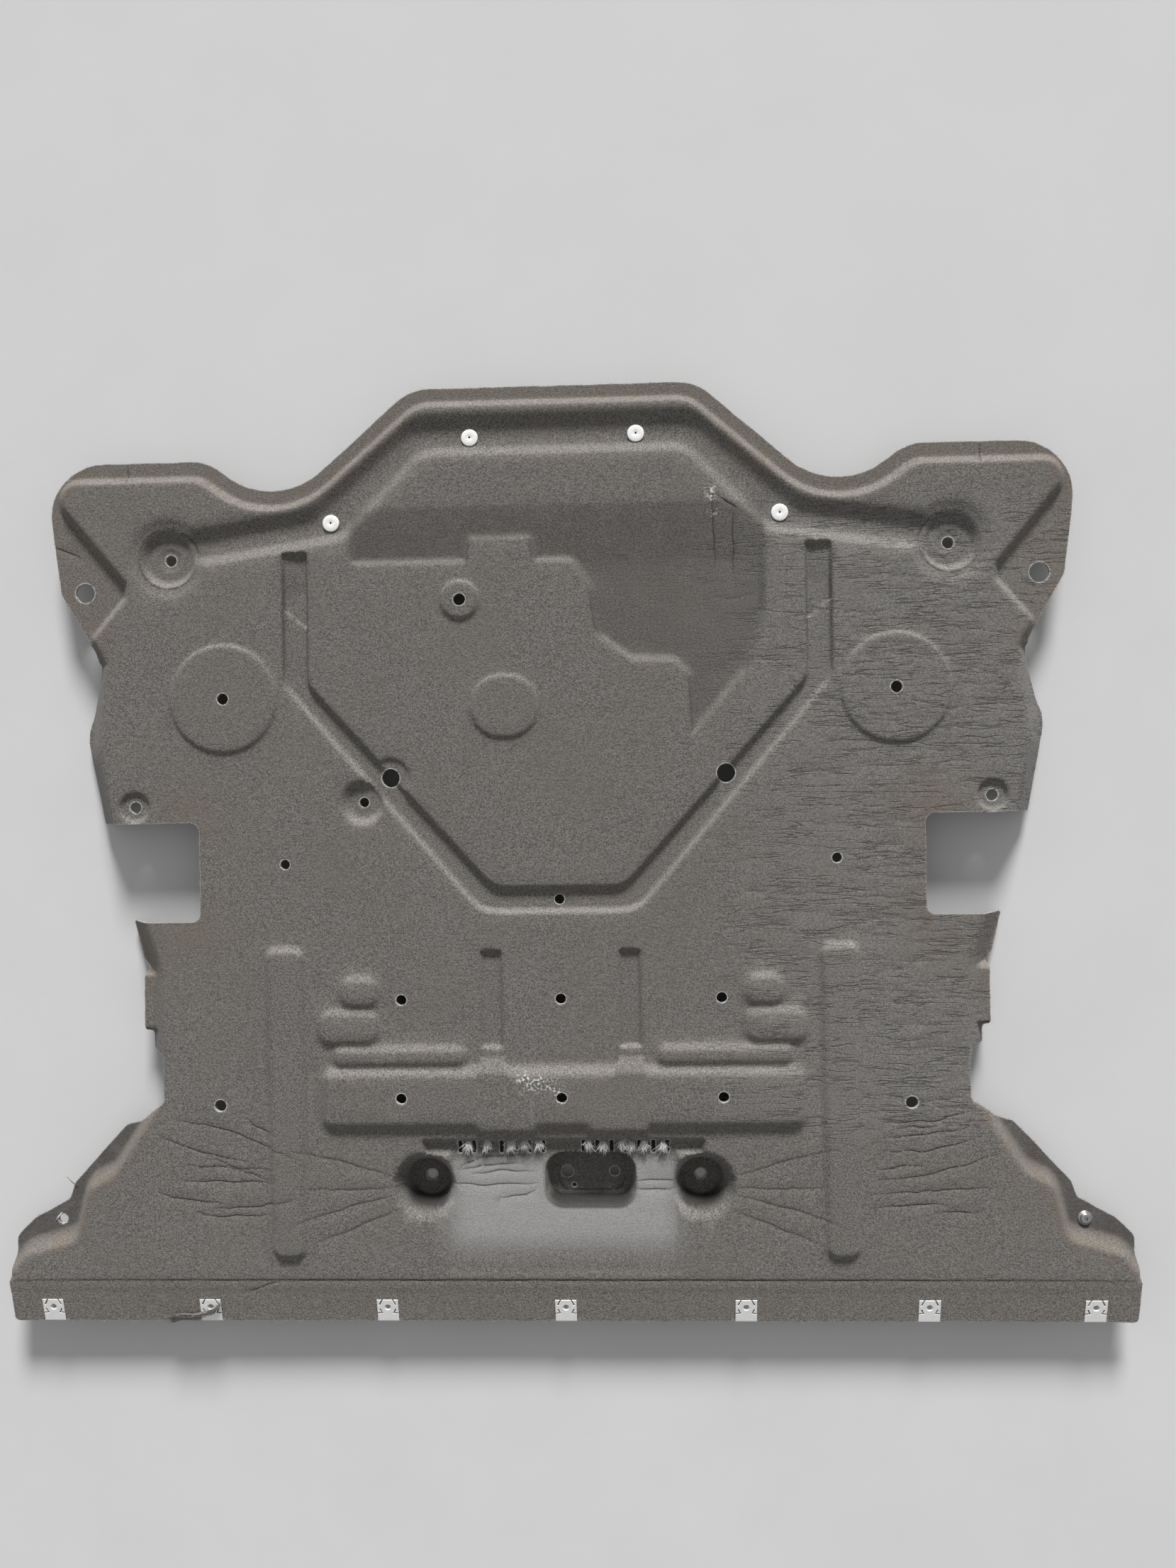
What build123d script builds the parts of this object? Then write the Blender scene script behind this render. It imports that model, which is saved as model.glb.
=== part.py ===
"""Engine splash shield: one moulded felt panel with its clip nuts, push rivets and flange screw.

The panel lies with its road side up.  X runs across the car, +Y points to the rear edge and
Z stands up from the floor that the skirts and the front cups rest on.  All sizes are in mm.
The felt is made as a press makes it: a form under its road face, less the same form sunk by
one felt thickness.
"""
import os
from math import cos, radians, sin, tan

from build123d import *

# Panel; the front cups stand on the floor, so they set the height of the field
LENGTH = 1015.0
FRONT_WIDTH = 1220.0
FELT = 4.0
FRONT_CUP_DEPTH = 40.0
FIELD = FRONT_CUP_DEPTH + FELT

# The plan is drawn at this size; a longer or wider panel stretches all its places alike
DRAWN_LENGTH = 1015.0
DRAWN_WIDTH = 1220.0
ALONG = LENGTH / DRAWN_LENGTH
ACROSS = FRONT_WIDTH / DRAWN_WIDTH
ROUNDING = min(ALONG, ACROSS, 1.0)

# Outer flanges, skirts and the bent front strip
FLANGE_DROP = 10.0
FLANGE_WIDTH = 15.0
WING_DROP = 20.0
EDGE_DRAFT = 35.0
WING_DRAFT = 30.0
STRIP_WIDTH = 50.0
STRIP_ANGLE = 14.5
STEP_BOX_DROP = 14.0
STEP_BOX_REAR = -127.0
STEP_BOX_FRONT = -187.0
NOTCH_DEPTH = 219.0
NOTCH_REAR = 39.0
NOTCH_FRONT = -68.5
SIDE_EDGE = 434.5

# Relief of the field, heights over it and depths under it
RELIEF_DRAFT = 45.0
STEEP_DRAFT = 32.0
BOSS_DRAFT = 55.0
CHANNEL_DEPTH = 9.0
GROOVE_DEPTH = 8.0
SLOT_DEPTH = 12.0
PLATE_STEP = 6.0
PLATE_RAMP = 60.0
MIDDLE_SLOT_DEPTH = 5.0
RIB_HEIGHT = 6.0
PAD_HEIGHT = 5.0
BOSS_HEIGHT = 8.0
DISC_HEIGHT = 3.5
DISC_RADIUS = 57.0
STUD_RADIUS = 19.0
POCKET_RADIUS = 25.0
OVAL_HEIGHT = 3.0
OVAL_LENGTH = 70.0
OVAL_WIDTH = 64.0
OVAL_CORNER = 31.0
VENT_DEPTH = 8.0

# Cups that sink bolt heads
CUP_DRAFT = 15.0
FRONT_CUP_RADIUS = 29.0
MIDDLE_CUP_DEPTH = 32.0
MIDDLE_CUP_LENGTH = 98.0
MIDDLE_CUP_WIDTH = 58.0
MIDDLE_CUP_CORNER = 20.0
LOBE_CUP_DEPTH = 5.0
LOBE_CUP_RADIUS = 36.0
LOBE_SEAT_DEPTH = 11.0
LOBE_SEAT_RADIUS = 23.0
SEAT_DEPTH = 4.0
SEAT_RADIUS = 17.0
SEAT_INSET = 18.0

# Holes
BOLT_HOLE = 11.4
CUP_HOLE = 12.4
SIDE_HOLE = 13.0
JACK_HOLE = 20.0
LOBE_SIDE_HOLE = 21.4
SMALL_HOLE = 10.6
PIN_HOLE = 5.0
VENT_SLOT_WIDTH = 4.5
VENT_SLOT_LENGTH = 15.0
VENT_SLOT_PITCH = 15.0
VENT_SLOTS = 7

# Spring clip nuts on the front strip
CLIP_X = (0.0, 194.0, 389.0, 564.0)
CLIP_WIDTH = 23.0
CLIP_LENGTH = 27.0
CLIP_SHEET = 0.9
CLIP_NOTCH = 3.0
CLIP_HOLE = 7.0
CLIP_HOLE_FROM_TOP = 9.0
CLIP_NUT = 10.0
CLIP_NUT_HEIGHT = 4.5
CLIP_SLIT = 0.9
CLIP_CLEARANCE = 0.6
CLIP_SHOULDER = 5.5
CLIP_ELBOW = 8.7
CLIP_WAIST = 6.5
CLIP_SLIT_ROWS = (6.2, 11.0, 16.0, 16.6)

# Push rivets in the rear channel
RIVET_HEAD = 18.4
RIVET_HEAD_HEIGHT = 2.4
RIVET_HEAD_EDGE = 0.8
RIVET_SHANK = 7.0
RIVET_LENGTH = 16.0
RIVET_BARB = 10.5
RIVET_CLEARANCE = 0.3

# Flange screw in the right wing
SCREW_FLANGE = 15.4
SCREW_FLANGE_HEIGHT = 1.6
SCREW_FLANGE_EDGE = 1.0
SCREW_HEAD = 11.0
SCREW_CROWN = 7.6
SCREW_HEAD_HEIGHT = 4.2
SCREW_SHANK = 6.0
SCREW_LENGTH = 18.0
SCREW_SOCKET = 5.0
SCREW_CLEARANCE = 0.3

BELOW = -20.0
LIFT = 1.0
MARGIN = 40.0
SHARP = 0.4


def plan(x, y, radius=0.0):
    """A drawn corner, stretched to the panel's length and width."""
    return (x * ACROSS, y * ALONG, radius * ROUNDING)


def spot(x, y):
    """A drawn place without a radius, stretched the same way."""
    return plan(x, y)[:2]


def plan_box(x0, x1, y0, y1):
    """Sharp corners of a drawn rectangle."""
    return [plan(x0, y0), plan(x1, y0), plan(x1, y1), plan(x0, y1)]


def turn(last, here, next_):
    """Unit vectors from a corner to its neighbours and half the angle between them."""
    to_last = (Vector(*last[:2]) - Vector(*here[:2])).normalized()
    to_next = (Vector(*next_[:2]) - Vector(*here[:2])).normalized()
    return to_last, to_next, radians(to_last.get_angle(to_next)) / 2


def around(corners):
    """Each corner with the one before it and the one after it."""
    return zip(corners[-1:] + corners[:-1], corners, corners[1:] + corners[:1])


def grown(corners, amount):
    """The same outline moved outwards all round; round corners keep their centres."""
    area = sum(a[0] * b[1] - b[0] * a[1] for a, b, _ in around(corners))
    result = []
    for last, here, next_ in around(corners):
        to_last, to_next, half = turn(last, here, next_)
        outward = to_last.cross(to_next).Z * area < 0
        move = amount if outward else -amount
        place = Vector(*here[:2]) - (to_last + to_next).normalized() * (move / sin(half))
        result.append((place.X, place.Y, max(here[2] + move, SHARP) if here[2] else 0.0))
    return result


def rounded(corners):
    """A closed face through corners (x, y, radius), each rounded by its own radius or left sharp."""
    bends = []
    for last, here, next_ in around(corners):
        to_last, to_next, half = turn(last, here, next_)
        point = Vector(*here[:2])
        reach = here[2] / tan(half)
        deep = here[2] / sin(half) - here[2]
        bends.append((point + to_last * reach,
                      point + (to_last + to_next).normalized() * deep,
                      point + to_next * reach))
    edges = []
    for bend, corner, after in zip(bends, corners, bends[1:] + bends[:1]):
        if corner[2]:
            edges.append(ThreePointArc(*bend))
        edges.append(Line(bend[2], after[0]))
    return make_face(edges)


def box_corners(x0, x1, y0, y1, radius=0.0):
    """Corners of a rectangle, all with one radius."""
    return [(x0, y0, radius), (x1, y0, radius), (x1, y1, radius), (x0, y1, radius)]


def mirrored(half):
    """Corners of the right half, from the middle line round to it again, made whole."""
    return half + [(-x, y, r) for x, y, r in reversed(half)]


def wall_shift(sink, draft):
    """How far an edge moves in plan when a drafted wall is sunk by its thickness."""
    return sink * (1 - sin(radians(draft))) / cos(radians(draft))


def frustum(shape, low, z_low, high, z_high):
    """A block between two levels, its outline grown by one amount at each; a circle is its radius."""
    if isinstance(shape, list):
        ends = [Pos(0, 0, z) * rounded(grown(shape, grow)) for grow, z in ((low, z_low), (high, z_high))]
        return loft(ends, ruled=True)
    height = z_high - z_low
    return Pos(0, 0, z_low + height / 2) * Cone(shape + low, shape + high, height)


def raised(shape, top, foot, draft, sink):
    """A drafted block under a raised area whose top edge is the shape."""
    shift = wall_shift(sink, draft)
    spread = (top - sink - foot) * tan(radians(draft))
    return frustum(shape, spread - shift, foot, -shift, top - sink)


def sunk(shape, mouth, depth, draft, sink):
    """A drafted plug that cuts a recess whose rim is the shape."""
    shift = wall_shift(sink, draft)
    lean = tan(radians(draft))
    rim = mouth - sink
    return frustum(shape, shift - depth * lean, rim - depth, shift + LIFT * lean, rim + LIFT)


def both(*places):
    """Each place and its mirror image across the middle line."""
    return [(side * x, y) for x, y in places for side in (1, -1)]


# Plan outline, right half from the rear edge round to the front edge
NOTCH_END = DRAWN_WIDTH / 2 - NOTCH_DEPTH
OUTLINE = [
    plan(155, 507.5, 58), plan(302, 379, 80), plan(381, 435, 50), plan(562, 435, 58),
    plan(544, 292.5, 20), plan(498, 212, 45),
    plan(529, 138, 40), plan(508, NOTCH_REAR), plan(NOTCH_END, NOTCH_REAR, 11),
    plan(NOTCH_END, NOTCH_FRONT, 9), plan(479, NOTCH_FRONT), plan(468, -112), plan(460, -122),
    plan(460, -190), plan(454, -194), plan(454, -209), plan(SIDE_EDGE, -214),
    plan(SIDE_EDGE, -264), plan(468, -289), plan(484, -293, 12), plan(544, -357.5, 12),
    plan(550, -375.5, 8), plan(590, -396.5, 18), plan(610, -416.5, 12), plan(610, -507.5, 5),
]
REAR = OUTLINE[0][1]
SIDE, FRONT = OUTLINE[-1][:2]
CREASE = FRONT + STRIP_WIDTH

# Top edges of the raised field: the rear crown, the middle with its skirts, the front with its wings
CROWN_INSET = FLANGE_WIDTH + FLANGE_DROP * tan(radians(EDGE_DRAFT))
CROWN = [
    plan(146, 507.5 - CROWN_INSET, 35), plan(302, 378.5 - CROWN_INSET * 1.27, 100),
    plan(388, 433.5 - CROWN_INSET, 27), plan(543, 433.5 - CROWN_INSET, 17), plan(536, 385.5, 10),
    plan(467, 301.5, 12), plan(467, 285.5, 12), plan(505, 241.5), plan(470, 177.5),
]
MIDDLE = [
    plan(490, 228, 20), plan(500, 118, 60), plan(484, 28, 60), plan(436, -118, 60), plan(436, -300),
]
WINGS = [
    plan(SIDE_EDGE, -222.5), plan(SIDE_EDGE + 1.5, -262.5, 12), plan(490, -342.5, 25),
    plan(519, -358, 18), plan(533, -414, 22), plan(590, -430, 14),
    (SIDE - FELT, CREASE + 2 * FELT, 0.0), (SIDE - FELT, CREASE, 0.0),
]
STEP_BOX = plan_box(SIDE_EDGE - MARGIN, SIDE_EDGE + MARGIN, STEP_BOX_FRONT, STEP_BOX_REAR)
FLANGE_END = plan(0, 215.5)[1]
WING_END = plan(0, -257.5)[1]

# Relief that is alike on both sides, right half
CHANNEL = [
    plan(154, 474.5, 50), plan(265, 377.5, 40), plan(421, 353.5), plan(421, 313),
    plan(228, 343, 30), plan(140, 432.5, 30),
]
GROOVE_INSIDE = [plan(268, 331.5), plan(268, 187.5, 25), plan(70, -34, 30)]
GROOVE_OUTSIDE = [plan(297, 331.5), plan(297, 186.5, 30), plan(85, -62.5, 40)]
SLOT = plan_box(268, 297, 252.5, 331.5)
MIDDLE_SLOT = plan_box(62.5, 87, -208, -102)
RIB = [plan(281.5, -102, 8), plan(315.5, -102, 8), plan(311, -429.5, 8), plan(284, -429.5, 8)]
PADS = [
    plan_box(200.5, 235, -159, -133.5), plan_box(201.5, 259, -199, -170), plan_box(107, 243, -223, -209),
]
BOSS = [
    plan(66, -236.5), plan(70, -223.5), plan(78, -223.5), plan(82, -236.5),
    plan(252, -236.5, 6), plan(252, -286.5, 6), plan(93, -286.5), plan(86, -293.5),
    plan(34, -293.5), plan(27, -286.5),
]

# The plate between the groove's arms: the sunk ground behind it has its edge on one side
PLATE = [
    plan(-222, 315.5, 8), plan(-95, 315.5), plan(-91, 341.5), plan(-26, 341.5), plan(-22, 315.5),
    plan(18, 315.5, 12), plan(36, 285.5, 12), plan(42, 235.5, 16), plan(80, 207.5, 16), plan(128, 205.5, 12),
    plan(142, 189.5, 8), plan(144, 121.5), plan(207, 195.5, 20), plan(226, 257.5, 30),
    plan(226, 375.5), plan(-222, 375.5),
]
PLATE_RAMP_TOP = plan(0, 374.5)[1]

# Places, right half where they are alike on both sides
LOBE_CUP = spot(422, 327.5)
LOBE_SIDE = spot(517.5, 293.5)
DISC = spot(362, 173.5)
JACK = spot(181, 85)
SEAT = (plan(462, 0)[0], NOTCH_REAR * ALONG + SEAT_INSET)
SMALL = spot(297, -7)
POCKET = spot(-211, 59)
GROOVE_SEAT = spot(0, -48.5)
OVAL = spot(-56, 160.5)
STUD = spot(-102.5, 276)
ROW_END = spot(172.5, -259.5)
ROW_MIDDLE = spot(0, -259.5)
REAR_ROW_END = spot(172.5, -155)
REAR_ROW_MIDDLE = spot(0, -155)
SIDE_BOLT = spot(372, -268)
FRONT_CUP = spot(149, -356.5)
MIDDLE_CUP = spot(29, -350.5)
MIDDLE_HOLE = spot(2.5, -350.5)
MIDDLE_PIN = spot(54.5, -350.5)
MIDDLE_PRICK = spot(10, -365.5)
VENT_REAR = plan(0, -306)[1]
VENT_FRONT = plan(0, -324)[1]
RAMP_END = plan(0, -449)[1]
VENT_FIRST = 22.0
VENT_ROW = 153.0
RAMP_HALF = 125.0
WING_HOLE = spot(558, -398)
RIVETS = both(spot(90, 452.5), spot(243, 363.5))


def slab(x0, x1, y0, y1, top):
    """A plain block up to one level, from below the floor."""
    return Pos((x0 + x1) / 2, (y0 + y1) / 2, (BELOW + top) / 2) * Box(x1 - x0, y1 - y0, top - BELOW)


def across(profile, half):
    """A profile in the Y-Z plane drawn out to both sides."""
    face = make_face(Polyline(*profile, close=True))
    return extrude(Plane.YZ * face, half, both=True)


def ramp(face, rim, floor, depth, draft, sink):
    """A recess whose floor climbs from its depth at one line to nothing at the rim line."""
    level = FIELD - sink
    far = 3 * floor - 2 * rim
    above = across(
        [(rim, level), (floor, level - depth), (far, level - depth), (far, FIELD + MARGIN),
         (rim, FIELD + MARGIN)], SIDE)
    return sunk(face, FIELD, depth, draft, sink) & above


def at(places, shape):
    """Copies of one shape at several places."""
    return [Pos(x, y) * shape for x, y in places]


def strip_slope(sink):
    """The bent front strip: a wedge that falls away in front of its crease."""
    angle = radians(STRIP_ANGLE)
    crease = CREASE + sink * tan(angle / 2)
    run = crease - FRONT + MARGIN
    level = FIELD - sink
    fall = run * tan(angle)
    heel = SIDE - MARGIN
    wedge = across([(crease, BELOW), (crease, level), (crease - run, level - fall),
                    (crease - run, BELOW)], SIDE + MARGIN)
    return wedge + slab(-heel, heel, crease - LIFT, crease + STRIP_WIDTH / 4, level)


def pair(block):
    """A block and its mirror image across the middle line."""
    return [block, mirror(block, about=Plane.YZ)]


def raised_relief(sink):
    """Everything that stands over the field: rails, boss, pads, discs and the oval."""
    foot = FIELD - sink - LIFT / 2

    def block(shape, height, draft=RELIEF_DRAFT):
        return raised(shape, FIELD + height, foot, draft, sink)

    oval = box_corners(-OVAL_LENGTH / 2, OVAL_LENGTH / 2, -OVAL_WIDTH / 2, OVAL_WIDTH / 2, OVAL_CORNER)
    blocks = [block(mirrored(BOSS), BOSS_HEIGHT, BOSS_DRAFT)]
    blocks += pair(block(RIB, RIB_HEIGHT))
    for pad in PADS:
        blocks += pair(block(pad, PAD_HEIGHT))
    blocks += at(both(DISC), block(DISC_RADIUS, DISC_HEIGHT))
    blocks += at([OVAL], block(oval, OVAL_HEIGHT))
    blocks += at([STUD], block(STUD_RADIUS, DISC_HEIGHT))
    return blocks


def sunk_relief(sink):
    """Everything that is pressed into the field: channel, groove, slots, vents, cups and seats."""
    def plug(shape, depth, draft=STEEP_DRAFT, mouth=FIELD):
        return sunk(shape, mouth, depth, draft, sink)

    length, width = MIDDLE_CUP_LENGTH / 2, MIDDLE_CUP_WIDTH / 2
    middle = box_corners(-length, length, -width, width, MIDDLE_CUP_CORNER)
    vent = box_corners(-VENT_ROW, VENT_ROW, VENT_FRONT, VENT_REAR)
    slope = box_corners(-RAMP_HALF, RAMP_HALF, RAMP_END, VENT_REAR)
    groove = mirrored(GROOVE_INSIDE) + mirrored(GROOVE_OUTSIDE)[::-1]
    plugs = [plug(mirrored(CHANNEL), CHANNEL_DEPTH, RELIEF_DRAFT), plug(groove, GROOVE_DEPTH, RELIEF_DRAFT)]
    plugs.append(ramp(PLATE, PLATE_RAMP_TOP, PLATE_RAMP_TOP - PLATE_RAMP, PLATE_STEP, RELIEF_DRAFT, sink))
    plugs += at([POCKET], plug(POCKET_RADIUS, GROOVE_DEPTH, RELIEF_DRAFT))
    plugs += pair(plug(SLOT, SLOT_DEPTH))
    plugs += pair(plug(MIDDLE_SLOT, MIDDLE_SLOT_DEPTH))
    plugs.append(plug(vent, VENT_DEPTH))
    plugs.append(ramp(slope, RAMP_END, VENT_FRONT, VENT_DEPTH, STEEP_DRAFT, sink))
    plugs += at(both(FRONT_CUP), plug(FRONT_CUP_RADIUS, FRONT_CUP_DEPTH, CUP_DRAFT))
    plugs += at([MIDDLE_CUP], plug(middle, MIDDLE_CUP_DEPTH, CUP_DRAFT))
    plugs += at(both(LOBE_CUP), plug(LOBE_CUP_RADIUS, LOBE_CUP_DEPTH))
    plugs += at(both(LOBE_CUP), plug(LOBE_SEAT_RADIUS, LOBE_SEAT_DEPTH - LOBE_CUP_DEPTH,
                                     mouth=FIELD - LOBE_CUP_DEPTH))
    plugs += at(both(SEAT), plug(SEAT_RADIUS, SEAT_DEPTH, EDGE_DRAFT))
    return plugs


def form(sink):
    """Everything under the felt's road face, or under its back when sunk by the felt."""
    far = SIDE + MARGIN
    rear_foot = FIELD - FLANGE_DROP - 2 * FELT
    wing_foot = FIELD - WING_DROP - 2 * FELT
    solid = slab(-far, far, FLANGE_END, REAR + MARGIN, FIELD - FLANGE_DROP - sink)
    solid += slab(-far, far, FRONT - MARGIN, WING_END, FIELD - WING_DROP - sink)
    solid += raised(mirrored(CROWN), FIELD, rear_foot, EDGE_DRAFT, sink)
    solid += raised(mirrored(MIDDLE), FIELD, -2 * FELT, EDGE_DRAFT, sink)
    solid += raised(mirrored(WINGS), FIELD, wing_foot, WING_DRAFT, sink)
    solid += pair(raised(STEP_BOX, FIELD - STEP_BOX_DROP, BELOW, CUP_DRAFT, sink))
    solid += strip_slope(sink)
    for block in raised_relief(sink):
        solid += block
    for plug in sunk_relief(sink):
        solid -= plug
    return solid


def on_strip(x):
    """The frame of the front strip's road face, at the front edge, with +Y up the slope."""
    edge = FIELD - STRIP_WIDTH * tan(radians(STRIP_ANGLE))
    return Pos(x, FRONT, edge) * Rot(STRIP_ANGLE, 0, 0)


def clip_seat():
    """Distance up the strip from the front edge to the inside of a clip nut's bend."""
    angle = radians(STRIP_ANGLE)
    return (CLIP_NOTCH - FELT * sin(angle)) / cos(angle) - CLIP_CLEARANCE


def clip_hole_up():
    """Distance up the strip from the front edge to a clip nut's hole."""
    return clip_seat() - CLIP_SHEET + CLIP_LENGTH - CLIP_HOLE_FROM_TOP


def clip_places():
    """Places of the clip nuts along the front edge."""
    return [side * x * ACROSS for x in CLIP_X for side in ((1, -1) if x else (1,))]


def drill(places, diameter):
    """Straight holes right through the panel."""
    return at(places, Pos(0, 0, FIELD / 2) * Cylinder(diameter / 2, FIELD + 2 * MARGIN))


def openings():
    """Every hole, slot and notch that is cut through the felt."""
    cuts = drill(both(ROW_END, REAR_ROW_END) + [ROW_MIDDLE, REAR_ROW_MIDDLE], BOLT_HOLE)
    cuts += drill(both(LOBE_CUP, FRONT_CUP, SEAT, DISC), CUP_HOLE)
    cuts += drill(both(SIDE_BOLT) + [STUD, MIDDLE_HOLE], SIDE_HOLE)
    cuts += drill(both(JACK), JACK_HOLE)
    cuts += drill(both(LOBE_SIDE), LOBE_SIDE_HOLE)
    cuts += drill(both(SMALL) + [GROOVE_SEAT, POCKET, MIDDLE_PIN], SMALL_HOLE)
    cuts += drill([MIDDLE_PRICK], PIN_HOLE)
    cuts += drill([(-WING_HOLE[0], WING_HOLE[1])], SMALL_HOLE)
    cuts += drill([WING_HOLE], SCREW_SHANK + 2 * SCREW_CLEARANCE)
    cuts += drill(RIVETS, RIVET_SHANK + 2 * RIVET_CLEARANCE)
    slot = Box(VENT_SLOT_WIDTH, VENT_SLOT_LENGTH, FIELD + 2 * MARGIN)
    slots = [(VENT_FIRST + i * VENT_SLOT_PITCH, (VENT_FRONT + VENT_REAR) / 2) for i in range(VENT_SLOTS)]
    cuts += at(both(*slots), Pos(0, 0, FIELD / 2) * slot)
    notch = Box(CLIP_WIDTH + 2 * CLIP_NOTCH, 2 * CLIP_NOTCH, FIELD + 2 * MARGIN)
    window = Box(CLIP_NUT, CLIP_NUT, 4 * FELT)
    for x in clip_places():
        cuts.append(Pos(x, FRONT, FIELD / 2) * notch)
        cuts.append(on_strip(x) * Pos(0, clip_hole_up()) * window)
    return cuts


def felt_panel():
    """The moulded felt: the form under its road face, trimmed to the outline, less the sunk form."""
    blank = extrude(rounded(mirrored(OUTLINE)), FIELD + MARGIN)
    return (form(0) & blank) - form(FELT) - openings()


def slit(start, end):
    """A narrow straight cut through a leaf between two points."""
    a, b = Vector(*start), Vector(*end)
    middle = (a + b) / 2
    angle = Axis.X.direction.get_signed_angle(b - a, Vector(0, 0, 1))
    blade = Box((b - a).length + CLIP_SLIT, CLIP_SLIT, 2 * CLIP_SHEET + LIFT)
    return Pos(middle.X, middle.Y) * Rot(0, 0, angle) * blade


def clip_nut():
    """A spring clip nut bent over the felt's edge, in the frame of the strip."""
    seat = clip_seat()
    foot = seat - CLIP_SHEET
    head = foot + CLIP_LENGTH
    half = CLIP_WIDTH / 2
    back = FELT + CLIP_SHEET
    hole = clip_hole_up()
    profile = Polyline(
        (head, 0), (head, CLIP_SHEET), (foot, CLIP_SHEET), (foot, -back), (head, -back),
        (head, -FELT), (seat, -FELT), (seat, 0), close=True)
    clip = extrude(Plane.YZ * make_face(profile), half, both=True)
    clip += Pos(0, hole, -back) * extrude(RegularPolygon(CLIP_NUT / 2, 6), -CLIP_NUT_HEIGHT)
    clip -= Pos(0, hole) * Cylinder(CLIP_HOLE / 2, 2 * MARGIN)
    rows = [head - row for row in CLIP_SLIT_ROWS]
    bends = [(CLIP_SHOULDER, head), (CLIP_ELBOW, rows[0]), (CLIP_ELBOW, rows[1]), (CLIP_WAIST, rows[2]),
             (half, rows[3])]
    for side in (1, -1):
        points = [(side * x, y) for x, y in bends]
        clip -= [slit(points[0], points[1]), slit(points[2], points[3]), slit(points[3], points[4])]
    return clip


def clip_nuts():
    """All the clip nuts along the front strip."""
    return Compound([on_strip(x) * clip_nut() for x in clip_places()])


def push_rivets():
    """White push rivets: a flat head on the channel floor and a barbed shank behind it."""
    head, shank, barb = RIVET_HEAD / 2, RIVET_SHANK / 2, RIVET_BARB / 2
    behind = -FELT - RIVET_CLEARANCE
    outline = Polyline(
        (0, -RIVET_LENGTH), (0, RIVET_HEAD_HEIGHT), (head - RIVET_HEAD_EDGE, RIVET_HEAD_HEIGHT),
        (head, RIVET_HEAD_HEIGHT - RIVET_HEAD_EDGE), (head, 0), (shank, 0), (shank, behind), (barb, behind),
        (shank / 2, -RIVET_LENGTH), close=True)
    rivet = revolve(Plane.XZ * make_face(outline), Axis.Z)
    return Compound([Pos(x, y, FIELD - CHANNEL_DEPTH) * rivet for x, y in RIVETS])


def flange_screw():
    """The screw left in the right wing: washer flange, domed head with a six-sided socket, shank."""
    flange, head, shank = SCREW_FLANGE / 2, SCREW_HEAD / 2, SCREW_SHANK / 2
    crown = (SCREW_HEAD_HEIGHT + SCREW_FLANGE_HEIGHT) / 2
    lead = shank / 2
    outline = Polyline(
        (0, -SCREW_LENGTH), (0, SCREW_HEAD_HEIGHT), (SCREW_CROWN / 2, SCREW_HEAD_HEIGHT), (head, crown),
        (head, SCREW_FLANGE_HEIGHT), (flange, SCREW_FLANGE_EDGE), (flange, 0), (shank, 0),
        (shank, lead - SCREW_LENGTH), (shank - lead, -SCREW_LENGTH), close=True)
    screw = revolve(Plane.XZ * make_face(outline), Axis.Z)
    screw -= Pos(0, 0, SCREW_FLANGE_HEIGHT) * extrude(RegularPolygon(SCREW_SOCKET / 2, 6), SCREW_HEAD_HEIGHT)
    return Pos(*WING_HOLE, FIELD - WING_DROP) * screw


def main():
    """Write one STEP file for each piece or group of alike pieces."""
    os.makedirs("parts", exist_ok=True)
    for make in (felt_panel, clip_nuts, push_rivets, flange_screw):
        export_step(make(), "parts/" + make.__name__ + ".step")


if __name__ == "__main__":
    main()
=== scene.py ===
import math

import bmesh
import bpy
import numpy as np
from bpy.props import FloatProperty, FloatVectorProperty, IntProperty, PointerProperty
from mathutils import Matrix, Vector, geometry


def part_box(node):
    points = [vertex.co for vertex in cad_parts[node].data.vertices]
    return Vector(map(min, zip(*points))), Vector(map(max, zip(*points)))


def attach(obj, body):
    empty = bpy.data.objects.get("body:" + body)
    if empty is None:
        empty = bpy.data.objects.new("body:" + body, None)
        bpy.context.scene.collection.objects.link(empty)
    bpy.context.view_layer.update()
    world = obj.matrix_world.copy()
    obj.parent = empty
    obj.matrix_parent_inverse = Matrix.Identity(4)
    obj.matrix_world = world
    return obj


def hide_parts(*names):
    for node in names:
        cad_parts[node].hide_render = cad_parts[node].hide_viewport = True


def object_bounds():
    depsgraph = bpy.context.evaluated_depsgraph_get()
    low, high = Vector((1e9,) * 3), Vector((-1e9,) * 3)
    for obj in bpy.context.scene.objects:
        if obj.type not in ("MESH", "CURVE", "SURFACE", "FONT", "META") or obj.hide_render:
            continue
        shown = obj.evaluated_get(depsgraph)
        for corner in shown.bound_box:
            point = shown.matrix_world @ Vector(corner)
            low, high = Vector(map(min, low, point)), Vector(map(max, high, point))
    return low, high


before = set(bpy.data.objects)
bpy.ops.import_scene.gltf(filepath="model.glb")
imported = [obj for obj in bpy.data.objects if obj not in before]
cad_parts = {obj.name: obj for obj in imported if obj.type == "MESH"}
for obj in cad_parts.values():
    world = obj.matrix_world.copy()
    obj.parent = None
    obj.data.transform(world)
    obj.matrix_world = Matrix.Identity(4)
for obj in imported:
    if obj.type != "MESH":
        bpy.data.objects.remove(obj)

bl_info = {
    "name": "Engine splash shield",
    "version": (1, 0, 0),
    "blender": (4, 5, 0),
    "location": "3D View > Sidebar > Splash Shield",
    "description": "Builds a moulded felt splash shield with its clip nuts, rivets and screw",
    "category": "Object",
}

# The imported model's box, and the panel's own edges in millimetres
MM = 0.001
CAD_LOW, CAD_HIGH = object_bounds()
PANEL_LOW, PANEL_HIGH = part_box("felt_panel")
REAR = PANEL_HIGH.y / MM
FRONT = PANEL_LOW.y / MM
SIDE = PANEL_HIGH.x / MM
TOP = PANEL_HIGH.z / MM

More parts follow.
